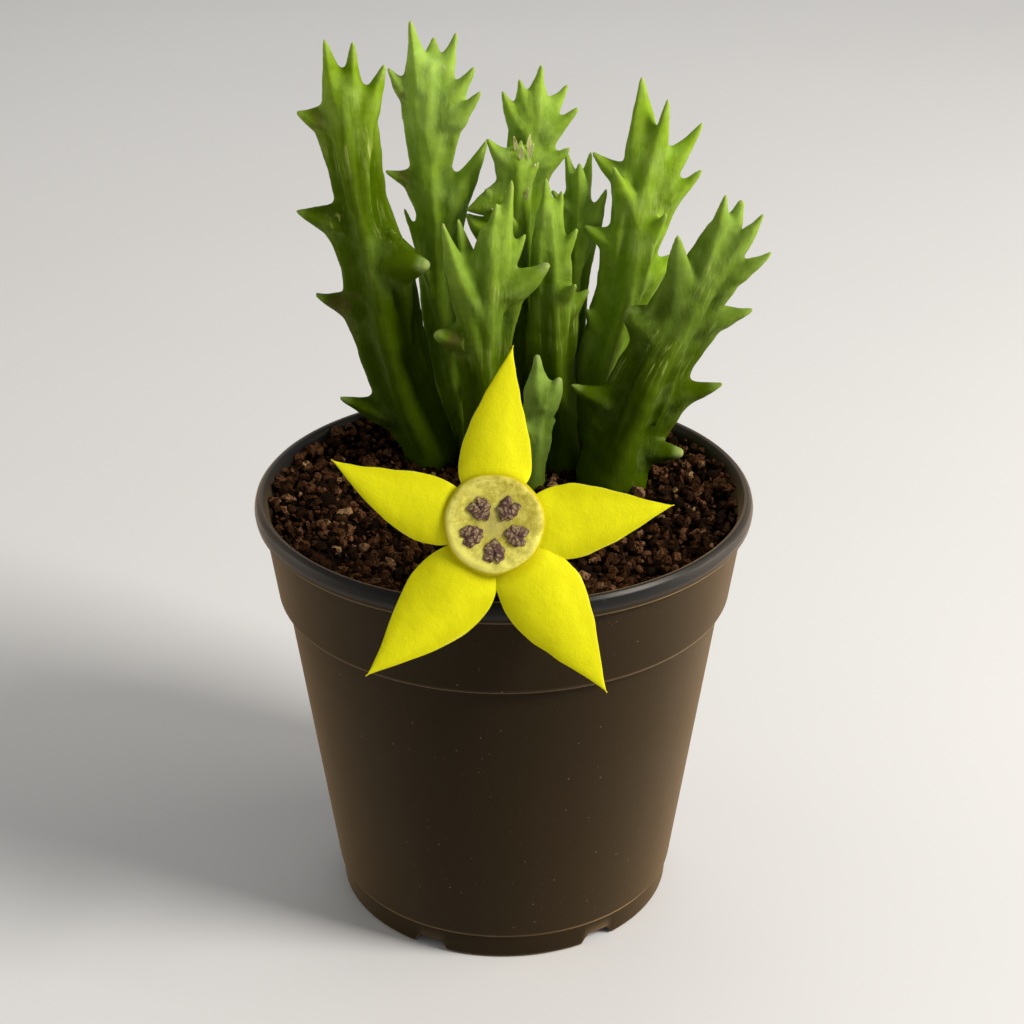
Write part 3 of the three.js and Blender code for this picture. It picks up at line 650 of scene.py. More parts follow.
def fleck_group() -> bpy.types.NodeTree:
    """Scattered flecks: small spots round random points, only in patches of a slow noise."""
    def wire(net: Network, start: Node, end: Node) -> None:
        """Cuts spots out of cell noise where the patch noise allows them."""
        vector, scale = start.outputs["Vector"], start.outputs["Scale"]
        cells = net.add("TexVoronoi", {"Vector": vector, "Scale": scale})
        spot = net.math("LESS_THAN", cells.outputs["Distance"], start.outputs["Size"])
        patch = net.scaled_noise(vector, net.times(scale, 0.07), 3.0)
        pick = net.add("SeparateColor", {"Color": cells.outputs["Color"]})
        chosen = net.math("GREATER_THAN", net.times(pick.outputs[0], patch),
                          start.outputs["Rarity"])
        net.feed(end.inputs["Mask"], net.times(spot, chosen))
    return build_group("scattered_flecks",
                       {"Vector": ("Vector", None), "Scale": ("Float", 1000.0),
                        "Size": ("Float", 0.2), "Rarity": ("Float", 0.4)},
                       {"Mask": "Float"}, wire)


@dataclass(frozen=True)
class Finish:
    """What all finishes share: a name and the constant sockets of the principled shader."""

    name: str
    roughness: float = 0.5
    specular: float = 0.5
    specular_tint: Color = (1.0, 1.0, 1.0)
    ior: float = 1.5
    subsurface: float = 0.0
    subsurface_mm: Color = (1.0, 1.0, 1.0)
    sheen: float = 0.0
    sheen_roughness: float = 0.40
    sheen_tint: Color = (1.0, 1.0, 1.0)

    def material(self) -> bpy.types.Material:
        """Returns the material, built the first time it is asked for."""
        if self.name in bpy.data.materials:
            return bpy.data.materials[self.name]
        material = bpy.data.materials.new(self.name)
        material.use_nodes = True
        shader = material.node_tree.nodes["Principled BSDF"]
        constants = {
            "Roughness": self.roughness, "IOR": self.ior, "Specular IOR Level": self.specular,
            "Specular Tint": (*self.specular_tint, 1.0), "Subsurface Weight": self.subsurface,
            "Subsurface Radius": self.subsurface_mm, "Subsurface Scale": MM,
            "Sheen Weight": self.sheen, "Sheen Roughness": self.sheen_roughness,
            "Sheen Tint": (*self.sheen_tint, 1.0)}
        for key, value in constants.items():
            shader.inputs[key].default_value = value
        self.paint(Network(material.node_tree), shader)
        return material

    def paint(self, net: Network, shader: Node) -> None:
        """Wires the colour, roughness and relief of this finish."""
        raise NotImplementedError

    @staticmethod
    def grouped(net: Network, tree: bpy.types.NodeTree, vector: Value, size_mm: float,
                **settings: float) -> Node:
        """Places a shared effect with its own values.

        Args:
            net: The material's network.
            tree: The effect's group.
            vector: What the effect's pattern follows.
            size_mm: Size of its features.
            settings: Its other inputs by name.

        Returns:
            The group's node.
        """
        node = net.add("Group", node_tree=tree)
        net.feed(node.inputs["Vector"], vector)
        node.inputs["Scale"].default_value = 1 / (size_mm * MM)
        for key, value in settings.items():
            node.inputs[key].default_value = value
        return node

    def grain(self, net: Network, size_mm: float, fineness: float = 0.4) -> Socket:
        """Returns the height of the shared fine grain."""
        node = self.grouped(net, grain_group(), net.place(), size_mm, Fineness=fineness)
        return node.outputs["Height"]

    def streaks(self, net: Network, vector: Value, size_mm: float) -> bpy.types.bpy_prop_collection:
        """Returns the outputs of the shared streaks, on a vector that runs along the part."""
        return self.grouped(net, streak_group(), vector, size_mm).outputs

    def flecks(self, net: Network, vector: Value, size_mm: float, size: float,
               rarity: float) -> Socket:
        """Returns the mask of the shared flecks."""
        node = self.grouped(net, fleck_group(), vector, size_mm, Size=size, Rarity=rarity)
        return node.outputs["Mask"]


@dataclass(frozen=True)
class PotPlastic(Finish):
    """Thin matt moulded plastic: warm near-black, a cooler smoother rim, pale scuffs, and a painted
    highlight line along the collar's crease.
    """

    body: Color = (0.0064, 0.0040, 0.0012)
    rim: Color = (0.0035, 0.0060, 0.0085)
    # The scuff colour also paints the highlight line along the collar's crease.
    scuff_and_highlight: Color = (0.18, 0.14, 0.10)
    clouding: Span = (0.82, 1.2)
    rim_fade: Span = (0.0781, 0.0789)
    foot_line: float = 0.0052
    foot_line_half: float = 0.00022
    # Height and half width of the painted highlight line along the collar's crease.
    crease: float = 0.0624
    crease_half: float = 0.0006
    scuffing: float = 0.55
    rim_smoother: float = -0.16
    rim_coat: float = 0.3
    rim_coat_roughness: float = 0.34

    def paint(self, net: Network, shader: Node) -> None:
        """Mixes the rim by height, then lays cloudiness, scratches, specks and a painted highlight
        line along the collar's crease over it.
        """
        place = net.place()
        height = net.split(net.place())["Z"]
        cloud = net.noise(place, 22, 4)
        low, high = (tuple(share * c for c in self.body) for share in self.clouding)
        on_rim = net.span(height, *self.rim_fade)
        colour = net.mix(on_rim, net.mix(net.span(cloud, 0.35, 0.7), low, high), self.rim)
        specks = self.flecks(net, place, 1.9, 0.085, 0.42)
        fine_scratch = net.noise(net.stretched(place, (1.0, 1.0, 0.16)), 0.35, 2)
        scratches = net.span(fine_scratch, 0.69, 0.78, 0.0, 0.35)
        foot_wear = net.times(net.span(net.noise(place, 2.4, 4), 0.5, 0.66),
                              self.band(net, height, self.foot_line, self.foot_line_half))
        # Painted highlight: a pale line along the lower edge of the collar, where its crease catches
        # the light.
        crease_highlight = net.times(self.band(net, height, self.crease, self.crease_half),
                                net.span(cloud, 0.4, 0.65, 0.0, 0.09))
        wear_and_highlight = net.larger(net.larger(specks, scratches), net.larger(foot_wear, crease_highlight))
        net.feed(shader.inputs["Base Color"],
                 net.mix(net.times(wear_and_highlight, self.scuffing), colour, self.scuff_and_highlight))
        net.feed(shader.inputs["Roughness"],
                 net.math("ADD", net.span(cloud, 0.3, 0.7, 0.50, 0.60),
                          net.times(on_rim, self.rim_smoother)))
        net.feed(shader.inputs["Coat Weight"], net.times(on_rim, self.rim_coat))
        shader.inputs["Coat Roughness"].default_value = self.rim_coat_roughness
        net.feed(shader.inputs["Normal"], net.bump(self.grain(net, 0.55, 0.5), 0.035))

    @staticmethod
    def band(net: Network, height: Value, middle: float, half: float) -> Socket:
        """Returns a mask that is 1 at a height and 0 beyond half a band's width."""
        away = net.math("ABSOLUTE", net.math("SUBTRACT", height, middle), 0.0)
        return net.span(away, 0.0, half, 1.0, 0.0)


@dataclass(frozen=True)
class PottingMix(Finish):
    """Dry granules: dark reddish brown, with some tan, pinkish and straw-coloured bits, and
    near-black painted shade low down between them.
    """

    # gap is near-black: in the pits, and as painted shade where granules sink into the plug and on the
    # plug's top.
    gap: Color = (0.0040, 0.0022, 0.0012)
    bits: tuple[tuple[float, Color], ...] = (
        (0.0, (0.008, 0.004, 0.002)), (0.30, (0.026, 0.011, 0.004)), (0.52, (0.068, 0.027, 0.010)),
        (0.70, (0.13, 0.054, 0.022)), (0.86, (0.21, 0.098, 0.045)), (0.95, (0.30, 0.16, 0.080)),
        (1.0, (0.34, 0.20, 0.085)))

    def paint(self, net: Network, shader: Node) -> None:
        """Reads each granule's own shade, darkens its pits, and paints shade where it sinks into the
        plug.
        """
        bits = net.ramp(net.attribute("shade"), self.bits)
        grit = net.noise(net.place(), 0.45, 4, 0.65)
        pitted = net.mix(net.span(grit, 0.34, 0.60), self.gap, bits)
        net.feed(shader.inputs["Base Color"], net.mix(net.attribute("sunk"), pitted, self.gap))
        net.feed(shader.inputs["Roughness"], net.span(grit, 0.3, 0.7, 0.72, 0.95))
        net.feed(shader.inputs["Normal"], net.bump(grit, 0.25))


@dataclass(frozen=True)
class StemSkin(Finish):
    """Succulent skin: dark green low down, yellow-green above, with paler tips. The ribs are paler,
    partly as painted highlight, and the furrows darker, partly as painted shade.

    The greens are a ramp over the height grown, from 0 to 1 over the range of it. Its dark low
    end is partly the skin's own colour and partly painted shade, where the stems shade one
    another. Each share says how strongly a colour is laid on, and a pair of them is for low down
    and high up.
    """

    # Partly the skin's own colour, partly painted shade: darker low down, where the stems shade one
    # another.
    greens: tuple[tuple[float, Color], ...] = (
        (0.0, (0.052, 0.088, 0.0005)), (0.30, (0.084, 0.142, 0.0008)),
        (0.62, (0.165, 0.274, 0.003)), (1.0, (0.238, 0.388, 0.018)))
    grown_range: Span = (0.074, 0.155)
    drift: float = 0.030
    # rib: partly the ribs' own paler skin, partly painted highlight, on the ribs and the ridges below
    # the teeth.
    rib: Color = (0.33, 0.47, 0.050)
    rib_share: Span = (0.05, 0.62)
    young: Color = (0.36, 0.53, 0.100)
    # flank: partly darker skin, partly painted shade, multiplied into the furrows and hollows.
    flank: Color = (0.50, 0.56, 0.28)
    furrow_shade_share: Span = (0.45, 0.3)
    bloom: Color = (0.42, 0.57, 0.15)
    bloom_share: Span = (0.13, 0.36)
    band: Color = (0.58, 0.64, 0.36)
    band_share: float = 0.36
    streak: Color = (0.56, 0.63, 0.17)
    streak_share: float = 0.55
    streak_mm: float = 1.5
    tip: Color = (0.30, 0.43, 0.080)
    tip_share: float = 0.45
    pale_tip: Color = (0.45, 0.48, 0.15)
    pale_tip_share: float = 0.5
    bruise: Color = (0.12, 0.075, 0.030)
    dry: Color = (0.30, 0.37, 0.11)
    scar: Color = (0.50, 0.52, 0.30)
    scar_share: float = 0.35
    mottle: Span = (0.94, 1.06)

    def paint(self, net: Network, shader: Node) -> None:
        """Lays the colours over one another, then adds gloss and fine relief."""
        place = net.place()
        streaks = self.streaks(net, net.attribute("flow", "Vector"), self.streak_mm)
        drift = net.times(net.math("SUBTRACT", net.noise(place, 18, 3), 0.5), self.drift)
        level = net.span(net.math("ADD", net.attribute("grown"), drift), *self.grown_range)
        green = self.shaded(net, place, level)
        spotted = self.marked(net, place, self.streaked(net, place, streaks, green))
        mottle = net.span(net.noise(place, 1.6, 3), 0.35, 0.65, *self.mottle)
        grey = net.add("CombineColor", {0: mottle, 1: mottle, 2: mottle}).outputs[0]
        net.feed(shader.inputs["Base Color"], net.mix(1.0, spotted, grey, "MULTIPLY"))
        net.feed(shader.inputs["Roughness"], net.span(net.noise(place, 3, 3), 0.3, 0.7, 0.50, 0.64))
        lines = net.bump(streaks["Broad"], 0.03)
        creased = net.times(net.noise(net.stretched(place, (1.0, 1.0, 0.35)), 0.9, 3),
                            net.math("ADD", net.attribute("base"), 0.25))
        wrinkles = net.bump(creased, 0.16, lines)
        net.feed(shader.inputs["Normal"], net.bump(self.grain(net, 0.8, 0.3), 0.05, wrinkles))

    def shaded(self, net: Network, place: Socket, level: Socket) -> Socket:
        """Returns the green by height: darker in the furrows, partly painted shade; paler on the ribs
        and ridges, partly painted highlight; and paler on tooth bases.
        """
        rib = net.attribute("rib")
        youth = net.times(net.attribute("young"), net.span(net.noise(place, 7, 3), 0.3, 0.65, 0.5, 1.0))
        fresh = net.mix(youth, net.ramp(level, self.greens), self.young)
        # Painted shade, partly darker skin: in the hollows and between the ribs, less so high up.
        flank = net.larger(net.times(net.attribute("hollow"), 0.85), net.span(rib, 0.5, 0.0, 0.0, 0.65))
        flank = net.times(flank, net.span(level, 0.0, 0.95, *self.furrow_shade_share))
        hollow = net.mix(flank, fresh, self.flank, "MULTIPLY")
        # Painted highlight, partly paler skin: along the ribs and the ridges.
        crest = net.larger(net.times(net.attribute("ridge"), 0.8), net.span(rib, 0.78, 1.0, 0.0, 0.8))
        lit = net.times(net.larger(crest, net.attribute("vein")),
                        net.span(level, 0.0, 0.9, *self.rib_share))
        ribbed = net.mix(lit, hollow, self.rib)
        haze = net.times(net.attribute("base"), net.span(net.noise(place, 4.2, 2, 0.5), 0.36, 0.70),
                         net.span(level, 0.1, 0.9, *self.bloom_share))
        return net.mix(haze, ribbed, self.bloom)

    def streaked(self, net: Network, place: Socket, streaks: bpy.types.bpy_prop_collection,
                 green: Socket) -> Socket:
        """Returns the green with dark bands and thin pale streaks along the stem."""
        bare = net.rest(net.attribute("tooth"))
        dark = net.times(net.rest(streaks["Broad"]), bare, self.band_share)
        banded = net.mix(dark, green, self.band, "MULTIPLY")
        drawn = net.times(net.attribute("streaked"), net.span(net.noise(place, 9, 2), 0.40, 0.62))
        thread = net.times(net.times(streaks["Thread"], bare), drawn)
        return net.mix(net.times(thread, self.streak_share), banded, self.streak)

    def marked(self, net: Network, place: Socket, green: Socket) -> Socket:
        """Returns the green with paler tips, bruises, dry ends and small scars."""
        tip = net.attribute("tip")
        pale = net.mix(net.span(tip, 0.15, 0.85, 0.0, self.tip_share), green, self.tip)
        ended = net.mix(net.span(tip, 0.92, 1.0, 0.0, self.pale_tip_share), pale, self.pale_tip)
        smudge = net.span(net.noise(place, 2.4, 4), 0.36, 0.62)
        bruised = net.mix(net.times(net.attribute("bruise"), smudge), ended, self.bruise)
        withered = net.span(net.noise(place, 1.3, 4, 0.65), 0.40, 0.56, 0.25, 1.0)
        dried = net.mix(net.times(net.attribute("dry"), withered), bruised, self.dry)
        scars = self.flecks(net, net.stretched(place, (1.0, 1.0, 0.45)), 1.5, 0.15, 0.58)
        return net.mix(net.times(scars, self.scar_share), dried, self.scar)


@dataclass(frozen=True)
class StalkSkin(Finish):
    """Smooth green skin of the flower stalk and sepals, with faint long streaks."""

    low: Color = (0.14, 0.24, 0.04)
    high: Color = (0.30, 0.38, 0.10)
    streak: Color = (0.42, 0.48, 0.2)

    def paint(self, net: Network, shader: Node) -> None:
        """Mixes two greens by streaks along the stalk."""
        place = net.place()
        streaks = self.streaks(net, net.stretched(place, (1.0, 0.12, 1.0)), 0.9)
        base = net.mix(net.span(net.noise(place, 4, 3), 0.3, 0.7), self.low, self.high)
        net.feed(shader.inputs["Base Color"],
                 net.mix(net.times(streaks["Thread"], 0.5), base, self.streak))
        net.feed(shader.inputs["Normal"], net.bump(self.grain(net, 0.4), 0.03))


@dataclass(frozen=True)
class PetalSkin(Finish):
    """Thick yellow petal: matt, finely pimpled, with painted shade towards its sides and, in ochre,
    round the disc, and paler along its very rim.
    """

    yellow: Color = (0.79, 0.755, 0.008)
    # ochre: painted shade round the disc, and the colour of the clouds and veins.
    ochre: Color = (0.53, 0.46, 0.001)
    # edge: a painted shade colour for the sides, which fold back from the light.
    edge: Color = (0.57, 0.54, 0.001)
    fringe: Color = (0.80, 0.79, 0.16)
    tip: Color = (0.62, 0.42, 0.02)
    vein_share: float = 0.035
    fringe_share: float = 0.15
    pimple_mm: float = 0.34

    def paint(self, net: Network, shader: Node) -> None:
        """Reads the way out along the petal and its rim, and adds veins and pimples."""
        place, outward, rim = net.place(), net.attribute("outward"), net.attribute("rim")
        cloud = net.noise(place, 5, 4)
        # Painted shade: darker towards the sides, where the petal folds back.
        rim_shaded = net.mix(net.span(rim, 0.35, 1.0, 0.0, 0.6), self.yellow, self.edge)
        # Painted shade: ochre near the disc, where the disc meets the petals.
        base = net.mix(net.span(outward, 0.20, 0.125, 0.0, 0.7), rim_shaded, self.ochre)
        clouded = net.mix(net.span(cloud, 0.45, 0.75, 0.0, 0.16), base, self.ochre)
        veins = self.streaks(net, net.attribute("flow", "Vector"), 1.6)
        veined = net.mix(net.times(veins["Broad"], self.vein_share), clouded, self.ochre)
        frayed = net.times(net.span(rim, 0.965, 1.0), net.span(cloud, 0.46, 0.6), self.fringe_share)
        edged = net.mix(frayed, veined, self.fringe)
        net.feed(shader.inputs["Base Color"],
                 net.mix(net.span(outward, 0.955, 1.0, 0.0, 0.6), edged, self.tip))
        net.feed(shader.inputs["Roughness"], net.span(cloud, 0.3, 0.7, 0.55, 0.68))
        pimples = net.add("TexVoronoi", {"Vector": place, "Scale": 1 / (self.pimple_mm * MM)})
        relief = net.bump(net.rest(pimples.outputs["Distance"]), 0.022)
        net.feed(shader.inputs["Normal"], net.bump(cloud, 0.35, relief))


@dataclass(frozen=True)
class DiscWax(Finish):
    """Waxy khaki-yellow disc: cloudy, with thin arcs along its roll, painted light on its left and
    lower side, and ochre painted shade at its very edge.
    """

    khaki: Color = (0.44, 0.355, 0.036)
    pale: Color = (0.86, 0.79, 0.16)
    arc: Color = (0.86, 0.82, 0.24)
    # edge: ochre painted shade where the disc meets the petals.
    edge: Color = (0.52, 0.44, 0.003)
    heart: Color = (0.46, 0.39, 0.12)
    # Painted light: the disc is paler towards -X and -Z, over these spans of X and Z in metres.
    painted_light_leftward: Span = (0.0035, -0.0095)
    painted_light_downward: Span = (0.0995, 0.0895)

    def paint(self, net: Network, shader: Node) -> None:
        """Mixes khaki and pale yellow by noise and by painted light on the left and lower side, then
        adds arcs, heart and the ochre painted shade at the edge.
        """
        place, outward = net.place(), net.attribute("outward")
        cloud = net.noise(place, 1.3, 6, 0.74)
        across = net.split(place)
        # Painted light: paler on the left and lower side, laid on the noise over the outer disc.
        painted_light_side = net.math("ADD", net.span(across["X"], *self.painted_light_leftward),
                         net.span(across["Z"], *self.painted_light_downward))
        cloud_and_painted_light = net.math("ADD", net.times(painted_light_side, net.span(outward, 0.45, 0.95, 0.1, 0.5)),
                        net.span(cloud, 0.38, 0.64, 0.0, 0.62))
        base = net.mix(net.math("MINIMUM", cloud_and_painted_light, 1.0), self.khaki, self.pale)
        hearted = net.mix(net.span(outward, 0.42, 0.15, 0.0, 0.6), base, self.heart)
        arcs = self.streaks(net, net.attribute("flow", "Vector"), 0.9)
        on_roll = net.span(outward, 0.58, 0.80, 0.25, 0.55)
        streaked = net.mix(net.times(arcs["Thread"], on_roll), hearted, self.arc)
        # Painted shade: ochre at the very edge, where the disc meets the petals.
        net.feed(shader.inputs["Base Color"],
                 net.mix(net.span(outward, 0.925, 0.970), streaked, self.edge))
        net.feed(shader.inputs["Roughness"], net.span(cloud, 0.3, 0.7, 0.30, 0.48))
        net.feed(shader.inputs["Normal"], net.bump(self.grain(net, 0.5, 0.3), 0.05))


@dataclass(frozen=True)
class LobeSkin(Finish):
    """Dark purple-brown lobes, blotched and combed with paler khaki."""

    dark: Color = (0.085, 0.036, 0.030)
    pale: Color = (0.39, 0.28, 0.14)

    def paint(self, net: Network, shader: Node) -> None:
        """Shows the pale colour in blotches between the dark lines."""
        blotch = net.span(net.noise(net.place(), 0.36, 4, 0.7), 0.42, 0.58, 0.1, 1.0)
        bare = net.times(net.attribute("comb"), blotch)
        net.feed(shader.inputs["Base Color"], net.mix(bare, self.dark, self.pale))
        net.feed(shader.inputs["Normal"], net.bump(self.grain(net, 0.3), 0.03))


@dataclass(frozen=True)
class DryHusk(Finish):
    """Withered papery skin: straw-coloured, browner in streaks."""

    straw: Color = (0.78, 0.77, 0.32)
    brown: Color = (0.48, 0.36, 0.15)

    def paint(self, net: Network, shader: Node) -> None:
        """Mixes straw and brown by noise drawn out upwards."""
        drawn = net.noise(net.stretched(net.place(), (1.0, 1.0, 0.4)), 0.5, 3)
        net.feed(shader.inputs["Base Color"],
                 net.mix(net.span(drawn, 0.52, 0.72), self.straw, self.brown))
        net.feed(shader.inputs["Normal"], net.bump(self.grain(net, 0.3), 0.05))


POT_PLASTIC = PotPlastic("matt_pot_plastic", roughness=0.55, ior=1.2,
                         specular_tint=(1.0, 0.74, 0.46), sheen=0.48, sheen_tint=(1.0, 0.64, 0.30))
POTTING_MIX = PottingMix("crumbled_mix", roughness=0.9, specular=0.03)
STEM_SKIN = StemSkin("succulent_skin", specular=0.2, specular_tint=(0.9, 1.0, 0.3), ior=1.2,
                     subsurface=0.10, subsurface_mm=(0.9, 1.2, 0.3))
STALK_SKIN = StalkSkin("smooth_stalk_skin", roughness=0.45, subsurface=0.1,
                       subsurface_mm=(0.6, 0.9, 0.3))
PETAL_SKIN = PetalSkin("matt_petal_skin", roughness=0.6, ior=1.14, subsurface=0.1,
                       subsurface_mm=(1.0, 0.8, 0.15))
DISC_WAX = DiscWax("cloudy_disc_wax", roughness=0.4, ior=1.2, subsurface=0.2,
                   subsurface_mm=(1.0, 0.8, 0.3))
LOBE_SKIN = LobeSkin("blotched_lobe_skin", roughness=0.55, ior=1.3)
DRY_HUSK = DryHusk("dry_husk", roughness=0.8, specular=0.1)


def fused(parts: Sequence[Surface], voxel: float) -> Surface:
    """One skin over overlapping closed surfaces, made on a grid of cubes.

    Args:
        parts: Closed surfaces, in millimetres.
        voxel: Side of the cubes, in millimetres.

    Returns:
        The skin, all of four-sided faces.
    """
    mesh = write_mesh("fusing", Surface.joined(parts), 1.0)
    piece = add_object("fusing", mesh)
    skin = piece.modifiers.new("skin", "REMESH")
    skin.mode = "VOXEL"
    skin.voxel_size = voxel
    result = piece.evaluated_get(bpy.context.evaluated_depsgraph_get()).to_mesh()
    points = mesh_points(result)
    corners = np.empty(len(result.loops), np.int32)
    result.loops.foreach_get("vertex_index", corners)
    bpy.data.objects.remove(piece)
    bpy.data.meshes.remove(mesh)
    return Surface(points, [corners.reshape(-1, 4).astype(int)])


class Relaxer:
    """Smooths a four-sided skin and reads its curvature, with whole-array steps."""

    def __init__(self, surface: Surface) -> None:
        """Lists each point's neighbours along the edges."""
        quads = surface.faces[0]
        self.quads = quads
        self.points = surface.points
        pairs = np.concatenate([quads[:, [k, (k + 1) % 4]] for k in range(4)])
        pairs = np.unique(np.sort(pairs, axis=1), axis=0)
        both = np.concatenate([pairs, pairs[:, ::-1]])
        both = both[np.argsort(both[:, 0], kind="stable")]
        self.neighbours = both[:, 1]
        self.starts = np.concatenate([[0], np.flatnonzero(np.diff(both[:, 0])) + 1])
        self.counts = np.diff(np.concatenate([self.starts, [len(both)]]))

    def around(self, values: np.ndarray) -> np.ndarray:
        """Returns the mean of each point's neighbours."""
        sums = np.add.reduceat(values[self.neighbours], self.starts, axis=0)
        return sums / (self.counts if values.ndim == 1 else self.counts[:, None])

    def normals(self) -> np.ndarray:
        """Returns the outward direction at each point, from the diagonals of its faces."""
        a, b, c, d = (self.points[self.quads[:, k]] for k in range(4))
        face = np.cross(c - a, d - b)
        total = np.zeros_like(self.points)
        for k in range(4):
            for axis in range(3):
                total[:, axis] += np.bincount(self.quads[:, k], face[:, axis], len(total))
        return unit(total)

    def relax(self, passes: int, crease: float, crest: float, hold: np.ndarray) -> None:
        """Moves points towards the mean of their neighbours.

        Args:
            passes: Number of rounds.
            crease: Share of the move where the skin is hollow, which rounds the creases.
            crest: Share of the move where it bulges, which keeps ribs and teeth.
            hold: Share by which each point stays, from 0 to 1.
        """
        for _ in range(passes):
            pull = self.around(self.points) - self.points
            hollow = (pull * self.normals()).sum(axis=1) > 0
            share = np.where(hollow, crease, crest) * (1 - hold)
            self.points = self.points + pull * share[:, None]

    def bulge(self, passes: int) -> np.ndarray:
        """Returns how far each point stands out from its neighbours, spread over some rings."""
        pull = self.around(self.points) - self.points
        value = -(pull * self.normals()).sum(axis=1)
        for _ in range(passes):
            value = self.around(value)
        return value


@dataclass(frozen=True)
class ToothShape:
    """Measures of a tooth: each pair is for one lying flat and one standing up."""

    deep: Span = (6.2, 3.7)
    wide: Span = (3.6, 4.1)
    above: Span = (0.8, 1.0)
    below: Span = (1.3, 1.0)
    fade_above: float = 1.05
    fade_below: Span = (1.25, 1.0)
    fade_wide: float = 0.80
    tip: float = 0.3
    ridged: float = 1.45
    root_pinch: float = 0.62
    sides: int = 24
    rings: int = 26


